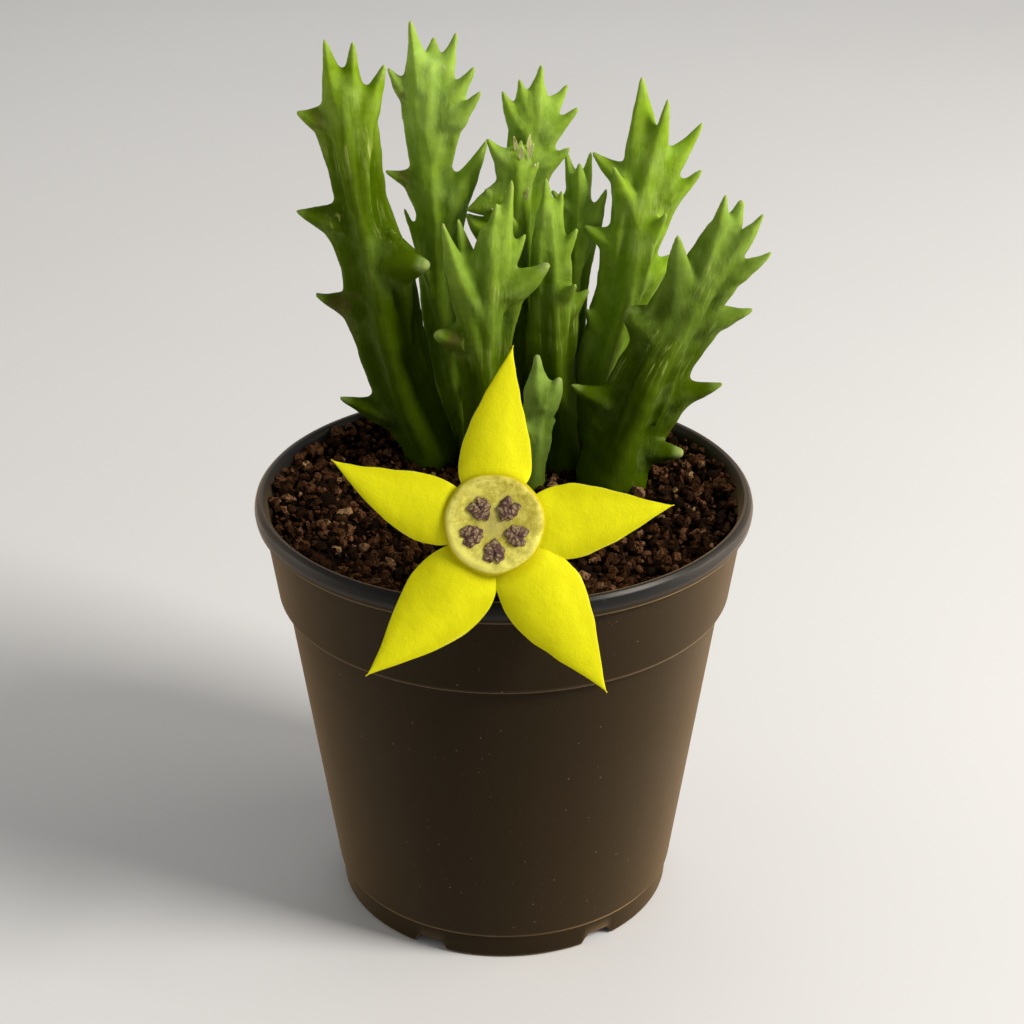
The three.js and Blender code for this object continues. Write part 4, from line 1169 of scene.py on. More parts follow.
@dataclass
class Stem:
    """One four-angled stem with its teeth, and a side branch where it has one.

    A smoothing row has the number of passes, the share of the move in creases and on crests,
    and how firmly the tips are held. An unevenness row has a size, a shift of the seed and a
    height.
    """

    name: str
    ribs: float
    line: Rows
    teeth: Rows
    branch: Rows = field(default_factory=list)
    branch_teeth: Rows = field(default_factory=list)
    blunt: dict[int, float] = field(default_factory=dict)
    dry: list[int] = field(default_factory=list)
    bruised: list[int] = field(default_factory=list)
    pale: float = 0.3
    # age shifts the greens ramp: a higher age keeps the stem darker, partly as painted shade for stems
    # that others shade.
    age: float = 0.0
    streaked: Span = (100, 120)
    furrow: float = 0.40
    keel_drop: float = 13.0
    sides: int = 64
    voxel: float = 0.36
    dome_rings: int = 6
    smoothing: tuple[tuple[int, float, float, float], ...] = (
        (3, 0.5, 0.5, 0.6), (38, 0.6, 0.03, 1.0), (4, 0.4, 0.4, 0.7))
    unevenness: tuple[tuple[float, int, float], ...] = ((11, 0, 0.16), (4.2, 50, 0.06))
    tooth: ToothShape = ToothShape()

    def rings(self, centres: np.ndarray, tangents: np.ndarray, radii: np.ndarray,
              furrows: np.ndarray, ribs: float) -> np.ndarray:
        """Ribbed rings across the centre line.

        A point at angle a lies at radius r (1 - furrow sin(2 a)^2), turned by the rib direction.

        Args:
            centres: Middle of each ring.
            tangents: Direction of the line at each ring.
            radii: Rib radius of each ring.
            furrows: Share by which each ring's furrows are shallower than its ribs.
            ribs: Rib direction in degrees.

        Returns:
            Array of shape (rings, sides, 3).
        """
        tangents = unit(tangents)
        across = unit(RIGHT - tangents * tangents[:, :1])
        angle = round_angles(self.sides)
        radius = radii[:, None] * (1 - furrows[:, None] * np.sin(2 * angle) ** 2)
        turn = angle + math.radians(ribs)
        return sections(centres, across, np.cross(tangents, across),
                        radius * np.cos(turn), radius * np.sin(turn))

    def body(self, rows: Rows, ribs: float, rooted: bool) -> Surface:
        """The ribbed body along its centre line, with a round peg below and a rounded top.

        Args:
            rows: Centre line rows of [x, y, z, rib radius].
            ribs: Rib direction in degrees.
            rooted: Whether it goes down into the potting mix.

        Returns:
            A closed surface.
        """
        table = np.asarray(rows, float)
        last = len(table) - 1
        at = np.linspace(0.5 if rooted else 0, last, 22 * last)
        samples = curve_rows(table, at)
        tangents = (curve_rows(table, np.minimum(at + 0.1, last))
                    - curve_rows(table, np.maximum(at - 0.1, 0)))[:, :3]
        centres, radii = samples[:, :3], samples[:, 3]
        furrows = self.furrow * np.minimum(1, at)
        if rooted:
            pegs = np.array([[table[0, 0], table[0, 1], z] for z in (ROOT_BOTTOM, ROOT_TOP)])
            centres = np.concatenate([pegs, centres])
            tangents = np.concatenate([[UP, UP], tangents])
            radii = np.concatenate([[table[0, 3]] * 2, radii])
            furrows = np.concatenate([[0, 0], furrows])
        dome = np.sin(np.linspace(0.2, 1.4, self.dome_rings))
        crown = table[-1, :3] + UP * (dome[:, None] * 0.6 * table[-1, 3])
        centres = np.concatenate([centres, crown])
        tangents = np.concatenate([tangents, np.tile(UP, (self.dome_rings, 1))])
        radii = np.concatenate([radii, table[-1, 3] * np.sqrt(1 - dome ** 2 * 0.96)])
        furrows = np.concatenate([furrows, self.furrow * (1 - dome)])
        return loft(self.rings(centres, tangents, radii, furrows, ribs))

    @staticmethod
    def axis_at(rows: Rows, height: float) -> np.ndarray:
        """Returns the axis point of a stem at a height, straight between the rows."""
        x, y, z, _ = np.asarray(rows, float).T
        return np.array([np.interp(height, z, x), np.interp(height, z, y), height])

    @staticmethod
    def radius_at(rows: Rows, height: float) -> float:
        """Returns the rib radius of a stem at a height, straight between the rows."""
        _, _, z, radius = np.asarray(rows, float).T
        return np.interp(height, z, radius)

    def tooth_curve(self, rows: Rows, tooth: list[float]) -> tuple[np.ndarray, ...]:
        """Returns the root, the bend and the tip of a tooth's centre curve."""
        root = self.axis_at(rows, tooth[0])
        tip = np.array(tooth[1:4], float)
        bend = np.array([*lerp(root[:2], tip[:2], 0.6), lerp(root[2], tip[2], 0.3)])
        return root, bend, tip

    def tooth_surface(self, rows: Rows, tooth: list[float], tip_radius: float) -> Surface:
        """One tooth: an oval section with slight ridges, carried from the axis to the tip.

        Its depth above the curve fades as (1 - t)^a, its depth below as (1 - t)^b, and its
        half width as (1 - t)^c, and it ends in a small round tip. The section is an oval whose
        sine and cosine are raised to a power above 1, which draws out its four ridges.

        Args:
            rows: Centre line that it grows from.
            tooth: Its row of the table.
            tip_radius: Radius of its round end.

        Returns:
            A closed surface.
        """
        root, bend, tip = self.tooth_curve(rows, tooth)
        size, shape = tooth[4], self.tooth
        standing = math.sin(math.atan2(tip[2] - root[2], math.hypot(*(tip - root)[:2])))
        t = 1 - (1 - np.linspace(0.02, 1, shape.rings)) ** 1.25
        centre = bezier(root, bend, tip, t)
        tangent = unit((bend - root) * (1 - t)[:, None] + (tip - bend) * t[:, None])
        side = unit(np.array([root[1] - tip[1], tip[0] - root[0], 0.0]))
        up = unit(np.cross(side, tangent))
        left = 1 - t
        blunting = tip_radius / np.linalg.norm(tip - root)
        nose = np.clip((t - 1 + blunting) / blunting, 0, 1)
        end = tip_radius * np.sqrt(np.clip(1 - nose ** 2, 0.02, 1))
        rooting = lerp(shape.root_pinch, 1.0, smoothstep(0.0, 0.45, t))
        deep = lerp(*shape.deep, standing) * size * rooting
        above = lerp(*shape.above, standing) * deep * left ** shape.fade_above + end
        fade_below = lerp(*shape.fade_below, standing)
        below = lerp(*shape.below, standing) * deep * left ** fade_below + end
        wide = lerp(*shape.wide, standing) * size * rooting * left ** shape.fade_wide + end
        angle = round_angles(shape.sides)
        rise, sway = (np.sign(f) * np.abs(f) ** shape.ridged
                      for f in (np.sin(angle), np.cos(angle)))
        lofty = np.where(rise > 0, above[:, None], below[:, None]) * rise
        return loft(sections(centre, up, side, lofty, wide[:, None] * sway))

    def keel(self, rows: Rows, tooth: list[float],
             flank: float = 0.0) -> tuple[Surface, np.ndarray, np.ndarray]:
        """A ridge that runs down the stem from a tooth, below it or down one of its flanks.

        Its centre is a Bezier curve from inside the tooth to the stem's surface. Its section is
        round outside, reaches further in, and shrinks evenly on the way down.

        Args:
            rows: Centre line that the tooth grows from.
            tooth: The tooth's row of the table.
            flank: 0 for the ridge below the tooth, -1 or 1 for one down its flank.

        Returns:
            A closed surface, its centre line and its radius along that line.
        """
        root, bend, tip = self.tooth_curve(rows, tooth)
        size = tooth[4]
        ahead = unit(np.array([tip[0] - root[0], tip[1] - root[1], 0.0]))
        aside = np.array([-ahead[1], ahead[0], 0.0]) * flank
        outward = unit(aside + ahead * 0.35) if flank else ahead
        lowest = max(root[2] - self.keel_drop * size, rows[0][2] + 1.5)
        if flank:
            start = bezier(root, bend, tip, np.array([0.62]))[0] + aside * 0.9 * size
        else:
            start = bezier(root, bend, tip, np.array([0.5]))[0] - UP * 1.2 * size
        halfway = lerp(root[2], lowest, 0.35)
        middle = self.axis_at(rows, halfway) + outward * self.radius_at(rows, halfway)
        finish = self.axis_at(rows, lowest) + outward * (self.radius_at(rows, lowest) * 0.80)
        t = np.linspace(0, 1, 22)
        centre = bezier(start, middle, finish, t)
        tangent = unit((middle - start) * (1 - t)[:, None] + (finish - middle) * t[:, None])
        side = unit(np.cross(tangent, outward))
        radius = lerp(1.2, 0.35, t) * size ** 0.5
        angle = round_angles(16)
        rise = np.where(np.sin(angle) < 0, 2.4, 1.0) * np.sin(angle)
        rings = sections(centre, side, np.cross(side, tangent),
                         radius[:, None] * np.cos(angle), radius[:, None] * rise)
        return loft(rings), centre, radius

    def keels(self) -> list[tuple[Surface, np.ndarray, np.ndarray]]:
        """Returns the ridges below all teeth, and down the flanks of those that stand up."""
        found = []
        for rows, teeth, _, _ in self.parts():
            for tooth in teeth:
                flanks = (0.0, -1.0, 1.0) if tooth[3] - tooth[0] > 9.5 else (0.0,)
                found.extend(self.keel(rows, tooth, flank) for flank in flanks)
        return found

    @staticmethod
    def veins(points: np.ndarray,
              keels: list[tuple[Surface, np.ndarray, np.ndarray]]) -> np.ndarray:
        """How much each point lies on a ridge, fading on the way down it.

        Args:
            points: Points of the skin.
            keels: The ridges with their centre lines and radii.

        Returns:
            A share from 0 to 1 per point.
        """
        found = np.zeros(len(points))
        squares = (points ** 2).sum(axis=1)[:, None]
        for _, line, radius in keels:
            square = squares + (line ** 2).sum(axis=1) - 2 * points @ line.T
            gap = np.sqrt(np.maximum(square, 0)) - radius
            fading = smoothstep(0.6, 0.05, gap) * np.linspace(1, 0.35, len(line))
            found = np.maximum(found, fading.max(axis=1))
        return found

    def parts(self) -> list[tuple[Rows, Rows, float, bool]]:
        """Returns the main stem and the branch as (rows, teeth, rib direction, rooted)."""
        found = [(self.line, self.teeth, self.ribs, True)]
        if self.branch:
            found.append((self.branch, self.branch_teeth, self.ribs + 20, False))
        return found

    def nearness(self, points: np.ndarray) -> tuple[np.ndarray, ...]:
        """How each point lies to the nearest tooth's centre curve.

        Args:
            points: Points of the skin.

        Returns:
            The share of the way to the tip of the nearest tooth, how much the point belongs to
            that tooth, and that tooth's number, per point. The branch's teeth count on from the
            stem's.
        """
        best = np.full(len(points), 1e9)
        share, belongs = np.zeros(len(points)), np.zeros(len(points))
        nearest_tooth = np.zeros(len(points), int)
        teeth = [(rows, tooth) for rows, found, _, _ in self.parts() for tooth in found]
        coarse = np.linspace(0.2, 1, 18)
        for number, (rows, tooth) in enumerate(teeth):
            root, bend, tip = self.tooth_curve(rows, tooth)
            samples = bezier(root, bend, tip, coarse)
            t = coarse[np.linalg.norm(points[:, None] - samples[None], axis=2).argmin(axis=1)]
            for _ in range(2):
                local = points - bezier(root, bend, tip, t)
                speed = 2 * ((bend - root) * (1 - t)[:, None] + (tip - bend) * t[:, None])
                t = np.clip(t + (local * speed).sum(axis=1) / (speed ** 2).sum(axis=1), 0.2, 1)
            local = points - bezier(root, bend, tip, t)
            thickness = self.tooth.wide[0] * tooth[4] * (1 - t) ** self.tooth.fade_wide + 0.5
            distance = np.linalg.norm(local, axis=1) / thickness
            closer = distance < best
            best = np.where(closer, distance, best)
            share = np.where(closer, t, share)
            belongs = np.where(closer, smoothstep(1.9, 1.0, distance) * smoothstep(0.35, 0.7, t),
                               belongs)
            nearest_tooth = np.where(closer, number, nearest_tooth)
        return share * smoothstep(2.2, 1.4, best), belongs, nearest_tooth

    def flow(self, points: np.ndarray) -> np.ndarray:
        """Returns coordinates drawn out along the stem, in metres, for streaks that follow it."""
        return np.column_stack([self.offset(points), points[:, 2] * 0.05]) * MM

    def offset(self, points: np.ndarray) -> np.ndarray:
        """Returns how far points lie from the stem's axis in x and y."""
        table = np.asarray(self.line, float)
        return points[:, :2] - np.stack([np.interp(points[:, 2], table[:, 2], table[:, k])
                                         for k in (0, 1)], axis=1)

    def rib_share(self, points: np.ndarray) -> np.ndarray:
        """Returns 1 on the four ribs and 0 midway between them, from the angle to the axis."""
        x, y = self.offset(points).T
        angle = np.arctan2(y, x) - math.radians(self.ribs)
        return 0.5 + 0.5 * np.cos(4 * angle)

    def build(self, seed: int) -> None:
        """Fuses body, branch and teeth into one skin, rounds its creases and dresses it.

        Args:
            seed: Picks the stem's own small unevenness.
        """
        surfaces = []
        for rows, teeth, ribs, rooted in self.parts():
            surfaces.append(self.body(rows, ribs, rooted))
            for number, tooth in enumerate(teeth):
                tip_radius = self.blunt.get(number, self.tooth.tip) if rooted else self.tooth.tip
                surfaces.append(self.tooth_surface(rows, tooth, tip_radius))
        keels = self.keels()
        skin = Relaxer(fused(surfaces + [keel[0] for keel in keels], self.voxel))
        hold = smoothstep(0.72, 0.93, self.nearness(skin.points)[0])
        for passes, crease, crest, grip in self.smoothing:
            skin.relax(passes, crease, crest, hold * grip)
        uneven = sum(ripple(skin.points, size, seed + shift) * height
                     for size, shift, height in self.unevenness)
        skin.points = skin.points + skin.normals() * (uneven * (1 - hold))[:, None]
        self.dress(skin, keels)

    def dress(self, skin: Relaxer, keels: list[tuple[Surface, np.ndarray, np.ndarray]]) -> None:
        """Makes the piece and stores what its material reads.

        Args:
            skin: The finished skin.
            keels: The ridges with their centre lines and radii.
        """
        points, bulge = skin.points, skin.bulge(4)
        share, belongs, nearest_tooth = self.nearness(points)
        height, top = points[:, 2], self.line[-1][2]
        low, high = self.streaked
        piece = place(self.name + "_skin", Surface(points, [skin.quads]))
        store(piece,
              # ridge, vein and rib drive the painted highlight on ribs and ridges; hollow and rib drive
              # the painted shade in the furrows.
              ridge=smoothstep(0.006, 0.022, bulge),
              hollow=smoothstep(0.002, -0.009, bulge),
              vein=self.veins(points, keels) * (1 - 0.5 * belongs),
              base=smoothstep(0.10, 0.28, share) * smoothstep(0.72, 0.42, share),
              rib=lerp(self.rib_share(points), 0.5, belongs),
              tip=smoothstep(0.70, 1.0, share),
              tooth=belongs,
              grown=(height - self.age) * MM,
              young=self.pale * smoothstep(top - 26, top - 2, height),
              streaked=0.1 + 0.9 * smoothstep(low - 4, low + 4, height)
              * smoothstep(high + 4, high - 4, height),
              dry=np.isin(nearest_tooth, self.dry) * smoothstep(0.82, 0.97, share),
              bruise=np.isin(nearest_tooth, self.bruised) * 0.6
              * smoothstep(0.25, 0.5, share) * smoothstep(0.95, 0.7, share),
              flow=self.flow(points))
        settle(piece, "stem_skin", STEM_SKIN, self.name)


def pot_inside(inset: float) -> Rows:
    """The inside of the pot's wall, from the foot up.

    Args:
        inset: Distance from the wall's own inside.

    Returns:
        Rows of [radius, height]: the outside moved in by the wall thickness and, above the
        foot, up by the rise that keeps the ledge of the collar thick.
    """
    foot, *wall = POT_OUTSIDE[4:10]
    return [[foot[0] - WALL - inset, foot[1]],
            *([r - WALL - inset, z + LEDGE_RISE + inset] for r, z in wall)]


@dataclass
class Pot:
    """The nursery pot: one turned shell with a notched foot and a floor with drain holes."""

    sides: int = 288
    notches: int = 6
    first_notch: float = -26.0
    notch_width: float = 5.0
    notch_height: float = 2.2
    foot_radius: float = 31.0
    holes: int = 5
    hole_circle: float = 18.0
    hole_radius: float = 3.0
    hole_span: Span = (1.0, 6.0)
    middle_radius: float = 0.6
    sharp_from: float = 50.0

    def outline(self) -> np.ndarray:
        """Returns the closed outline, from the foot up the outside and back down inside."""
        inside = pot_inside(0.0)
        corners = [[29.4, FLOOR_UNDERSIDE], *POT_OUTSIDE, [inside[-1][0] + 0.1, 79.2],
                   *inside[:0:-1], [30.9, FLOOR_TOP + 0.4], [30.4, FLOOR_TOP], [30.0, FLOOR_TOP]]
        upper = eased(corners, 0.3)
        floor = eased([[30.0, FLOOR_TOP], [10.0, FLOOR_TOP], [self.middle_radius, FLOOR_TOP],
                       [self.middle_radius, 0.0], [PAD_RADIUS, 0.0],
                       [PAD_RADIUS + 0.8, FLOOR_UNDERSIDE], [29.0, FLOOR_UNDERSIDE],
                       [29.4, FLOOR_UNDERSIDE]], 0.2, 2)
        return np.concatenate([upper[:-1], floor[:-1]])

    def notched(self, points: np.ndarray) -> np.ndarray:
        """Lifts the foot ring over each notch, whose sides slope."""
        azimuth = np.degrees(np.arctan2(points[:, 0], -points[:, 1]))
        step = 360 / self.notches
        off = (azimuth - self.first_notch + step / 2) % step - step / 2
        along = np.abs(np.radians(off)) * self.foot_radius
        roof = self.notch_height * (1 - smoothstep(0.46, 0.74, along / self.notch_width))
        foot = np.hypot(points[:, 0], points[:, 1]) > 29.0
        low = foot & (points[:, 2] < self.notch_height + 0.6)
        lifted = np.maximum(points[:, 2], roof + points[:, 2] * 0.12)
        return np.where(low, lifted, points[:, 2])

    def build(self) -> None:
        """Turns the shell, shapes the foot, cuts the drain holes and dresses it."""
        shell = turned(self.outline(), self.sides)
        shell.points[:, 2] = self.notched(shell.points)
        piece = place("nursery_pot", shell)
        self.close_middle(piece)
        cutters = Surface.joined([self.hole(k) for k in range(self.holes)])
        combine(piece, [place("drain_cutter", cutters)], Joining.CUT_AWAY)
        piece.data.set_sharp_from_angle(angle=math.radians(self.sharp_from))
        settle(piece, "pot_plastic", POT_PLASTIC, "pot")

    def close_middle(self, piece: Piece) -> None:
        """Closes the small tube that turning leaves round the axis of the floor."""
        points = mesh_points(piece.data)
        near = np.hypot(points[:, 0], points[:, 1]) < (self.middle_radius + 0.1) * MM
        points[near, :2] = 0
        piece.data.vertices.foreach_set("co", points.ravel())
        weld(piece)

    def hole(self, index: int) -> Surface:
        """Returns the post that cuts one drain hole."""
        angle = 2 * math.pi * index / self.holes + math.pi / 2
        middle = self.hole_circle * np.array([math.cos(angle), math.sin(angle), 0.0])
        return loft(middle + spun(np.array([[self.hole_radius, z] for z in self.hole_span]), 40))


@dataclass
class PottingPlug:
    """The potting mix: a plug that fills the pot, and loose granules over its top."""

    radius: float = 41.9
    granules: int = 4700
    sides: int = 144
    top_rings: int = 40
    seed: int = 11
    sharp_from: float = 38.0
    plug_shade: float = 0.2
    # Share of painted shade on the plug's top, seen between the granules.
    plug_sunk_shade: float = 0.75

    def plug(self) -> Surface:
        """Returns the plug: the pot's inside filled, its top raised by slow unevenness."""
        sides = [[29.9, FLOOR_TOP + 0.3], [30.6, FLOOR_TOP + 0.7], *pot_inside(0.3)[1:-1],
                 [self.radius, SOIL_LEVEL - 1.6]]
        top = [[self.radius * (1 - k / self.top_rings), SOIL_LEVEL - 1.2]
               for k in range(self.top_rings)]
        rings = spun(np.array(sides + top), self.sides)
        upper = rings[len(sides):]
        upper[..., 2] += self.relief(upper.reshape(-1, 3)).reshape(self.top_rings, -1)
        return loft(rings)

    @staticmethod
    def relief(points: np.ndarray) -> np.ndarray:
        """Returns how far the top of the mix stands above its mean level."""
        flat = points * np.array([1, 1, 0])
        return ripple(flat, 16, 3) * 0.45 + ripple(flat, 5, 4) * 0.25

    def spots(self, draw: np.random.Generator) -> np.ndarray:
        """Granule places: random points of the top, clear of the stems and the wall.

        Args:
            draw: Source of the random draws.

        Returns:
            Rows of x, y.
        """
        angle = draw.uniform(0, 2 * math.pi, self.granules * 2)
        out = np.sqrt(draw.uniform(0, 1, self.granules * 2)) * (self.radius + 0.1)
        spots = np.stack([out * np.cos(angle), out * np.sin(angle)], axis=1)
        clear = np.ones(len(spots), bool)
        for stem in STEMS:
            x, y, _, foot = stem["line"][0]
            clear &= np.hypot(spots[:, 0] - x, spots[:, 1] - y) > foot + 0.3
        return spots[clear][:self.granules]

    def grains(self) -> tuple[Surface, np.ndarray, np.ndarray]:
        """All granules as one surface: lumpy balls, each turned and stretched at random.

        Returns:
            The surface, each point's shade from 0 to 1, and its share of painted shade, from how deep
            it is sunk.
        """
        draw = np.random.default_rng(self.seed)
        ball, faces = lumpy_ball()
        spots = self.spots(draw)
        count = len(spots)
        size = draw.uniform(0, 1, count) ** 2.0 * 0.85 + 0.40
        stretch = draw.uniform(0.62, 1.35, (count, 3))
        lumps = 1 + draw.normal(0, 0.16, (count, len(ball)))
        local = ball[None] * lumps[..., None] * stretch[:, None] * size[:, None, None]
        turned_grains = np.einsum("nij,nkj->nki", random_turns(draw, count), local)
        base = SOIL_LEVEL - 0.9 + self.relief(np.pad(spots, ((0, 0), (0, 1))))
        base += 2.2 * smoothstep(37.5, 42.0, np.hypot(spots[:, 0], spots[:, 1]))
        layer = draw.uniform(-0.9, 0.8, count) + (size - 0.7) * 0.5
        centres = np.stack([spots[:, 0], spots[:, 1], base + layer], axis=1)
        points = (turned_grains + centres[:, None]).reshape(-1, 3)
        shade = np.clip(draw.beta(2.0, 2.6, count) + (draw.random(count) > 0.95) * 0.4, 0, 1)
        # Painted shade mask: rises from none 0.55 mm above the granules' base level to full 0.75 mm
        # below it.
        sunk = smoothstep(0.55, -0.75, points[:, 2] - np.repeat(base, len(ball)))
        faces = (faces[None] + np.arange(count)[:, None, None] * len(ball)).reshape(-1, 3)
        return Surface(points, [faces]), np.repeat(shade, len(ball)), sunk

    def build(self) -> None:
        """Makes the plug and its granules, and dresses both."""
        plug = self.plug()
        count = len(plug.points)
        piece = place("potting_plug", plug)
        store(piece, shade=np.full(count, self.plug_shade), sunk=np.full(count, self.plug_sunk_shade))
        settle(piece, "potting_mix", POTTING_MIX, "soil")
        surface, shade, sunk = self.grains()
        grains = place("potting_granules", surface)
        grains.data.set_sharp_from_angle(angle=math.radians(self.sharp_from))
        store(grains, shade=shade, sunk=sunk)
        settle(grains, "potting_mix", POTTING_MIX)


def lumpy_ball() -> tuple[np.ndarray, np.ndarray]:
    """Returns the 18 points and 32 triangles of an octahedron with each face cut in four."""
    points = list(np.concatenate([np.eye(3), -np.eye(3)]))
    octants = [(a, b, c) for a in (0, 3) for b in (1, 4) for c in (2, 5)]
    table, cut = {}, []
    for face in octants:
        middles = []
        for a, b in ((0, 1), (1, 2), (2, 0)):
            key = tuple(sorted((face[a], face[b])))
            if key not in table:
                table[key] = len(points)
                points.append(unit(points[key[0]] + points[key[1]]))
            middles.append(table[key])
        ab, bc, ca = middles
        cut += [(face[0], ab, ca), (face[1], bc, ab), (face[2], ca, bc), (ab, bc, ca)]
    points, cut = np.array(points), np.array(cut)
    corners = points[cut]
    out = np.einsum("ij,ij->i", np.cross(corners[:, 1] - corners[:, 0],
                                         corners[:, 2] - corners[:, 0]), corners.mean(axis=1))
    cut[out < 0] = cut[out < 0][:, ::-1]
    return points, cut


def random_turns(draw: np.random.Generator, count: int) -> np.ndarray:
    """Returns random rotation matrices, from random unit quaternions."""
    w, x, y, z = unit(draw.normal(size=(count, 4))).T
    return np.stack([
        1 - 2 * (y * y + z * z), 2 * (x * y - z * w), 2 * (x * z + y * w),
        2 * (x * y + z * w), 1 - 2 * (x * x + z * z), 2 * (y * z - x * w),
        2 * (x * z - y * w), 2 * (y * z + x * w), 1 - 2 * (x * x + y * y),
    ], axis=1).reshape(count, 3, 3)


def on_flower(points: np.ndarray) -> np.ndarray:
    """Moves points from the flower's own frame, z out of its face, to the object's."""
    up = np.array([0, math.sin(FLOWER_TILT), math.cos(FLOWER_TILT)])
    out = np.array([0, -math.cos(FLOWER_TILT), math.sin(FLOWER_TILT)])
    return points @ np.stack([RIGHT, up, out]) + FLOWER_CENTRE


def leaned(surface: Surface) -> Surface:
    """Moves a surface from the flower's own frame to the object's."""
    return Surface(on_flower(surface.points), surface.faces)


def notch_angle(index: int) -> float:
    """Returns the direction of a notch between two petals, counted clockwise."""
    return math.radians(90 - (36 + 72 * index))


@dataclass
class Corolla:
    """Five thick petals grown together round a plate."""

    root: float = 4.5
    thickness: float = 0.9
    tip_thickness: float = 0.5
    fold: float = 0.036
    lengthwise: int = 96
    across: int = 30
    plate: tuple[Span, ...] = ((7.2, -0.5), (7.8, -0.25), (8.0, 0.0), (7.8, 0.25), (7.2, 0.5))
    plate_sides: int = 90
    sharp_from: float = 60.0

    def half_width(self, distance: np.ndarray, length: float, widest: float,
                   shoulder: float) -> np.ndarray:
        """Half the width of a petal at a distance from the flower's middle.

        It rises as 1 - (1 - t)^2.2 to the shoulder, and falls as (1 - t^1.5)^1.25 to the tip.
        """
        rise = np.clip((distance - self.root) / (shoulder - self.root), 0, 1)
        fall = np.clip((distance - shoulder) / (length - shoulder), 0, 1)
        low = lerp(3.4, widest, 1 - (1 - rise) ** 2.2)
        high = np.maximum(widest * (1 - fall ** 1.5) ** 1.25, 0.1)
        return np.where(distance <= shoulder, low, high)

    def petal(self, row: Sequence[float], seed: int) -> Surface:
        """One petal: a section carried outwards, arched across with its edges folded back.

        Args:
            row: The petal's row of the table.
            seed: Picks its nicks and unevenness.

        Returns:
            The surface in the flower's frame.
        """
        root_clock, tip_clock, length, widest, shoulder = row
        way = 1 - (1 - np.linspace(0, 1, self.lengthwise)) ** 1.2
        distance = lerp(self.root, length, way)
        angle = np.radians(90 - lerp(root_clock, tip_clock, way))
        half = self.half_width(distance, length, widest, shoulder)
        v = np.sin(np.linspace(-0.5, 0.5, self.across) * math.pi)
        v = np.concatenate([v, v[-2:0:-1]])
        face = np.where(np.arange(len(v)) < self.across, 1.0, -1.0)
        edge = np.stack([distance * 1.7, np.full(len(way), float(seed)), np.zeros(len(way))],
                        axis=1)
        nick = [ripple(edge + side * 40, 6.5, seed + 9) for side in (-1, 1)]
        ragged = np.where(v[None] > 0, nick[1][:, None], nick[0][:, None])
        spread = v[None] * (half[:, None] + 0.055 * ragged * np.clip(half, 0, 1.2)[:, None])
        thick = lerp(self.thickness, self.tip_thickness, way)[:, None] / 2
        rounded = np.sqrt(np.clip(1 - np.abs(v) ** 2.6, 0, 1))[None]
        fold = -self.fold * spread ** 2
        nod = -0.0022 * (distance[:, None] - 8.4) ** 2
        dent = 0.12 * ripple(np.stack([distance[:, None] + 0 * spread, spread * 1.3,
                                       np.full(spread.shape, seed * 3.0)], axis=-1).reshape(-1, 3),
                             13, seed).reshape(spread.shape)
        z = nod + fold + dent + face[None] * thick * rounded
        return loft(swung(distance[:, None], spread, z, angle[:, None]))

    def build(self) -> None:
        """Joins the petals and the plate into one skin and dresses it."""
        plate = loft(spun(np.array(self.plate), self.plate_sides))
        petals = [self.petal(row, 21 + k) for k, row in enumerate(PETALS)]
        main, *others = (place("petal_part", surface) for surface in [*petals, plate])
        main.name = "corolla"
        combine(main, others, Joining.GROWN_TOGETHER)
        self.mark(main)
        settle(main, "petal", PETAL_SKIN, "flower_corolla")

    def mark(self, piece: Piece) -> None:
        """Stores the way out, the nearness to the rim and the flow, then tilts the flower."""
        points = mesh_points(piece.data) / MM
        distance = np.hypot(points[:, 0], points[:, 1])
        clock = np.degrees(np.arctan2(points[:, 0], points[:, 1]))
        best = np.full(len(points), 1e9)
        outward, rim = np.zeros(len(points)), np.zeros(len(points))
        flow = np.zeros((len(points), 3))
        for k, (root_clock, tip_clock, length, widest, shoulder) in enumerate(PETALS):
            way = np.clip((distance - self.root) / (length - self.root), 0, 1)
            off = (clock - lerp(root_clock, tip_clock, way) + 180) % 360 - 180
            half = self.half_width(distance, length, widest, shoulder)
            beside = distance * np.sin(np.radians(np.clip(off, -90, 90)))
            closer = np.abs(off) < best
            best = np.where(closer, np.abs(off), best)
            outward = np.where(closer, way, outward)
            rim = np.where(closer, np.clip(np.abs(beside) / half, 0, 1), rim)
            lane = np.stack([beside + k * 20, distance * 0.09, np.zeros(len(points))], axis=1)
            flow = np.where(closer[:, None], lane, flow)
        store(piece, outward=outward, rim=rim * smoothstep(0.12, 0.3, outward), flow=flow * MM)
        piece.data.vertices.foreach_set("co", (on_flower(points) * MM).ravel())
        piece.data.update()
        piece.data.shade_smooth()
        piece.data.set_sharp_from_angle(angle=math.radians(self.sharp_from))


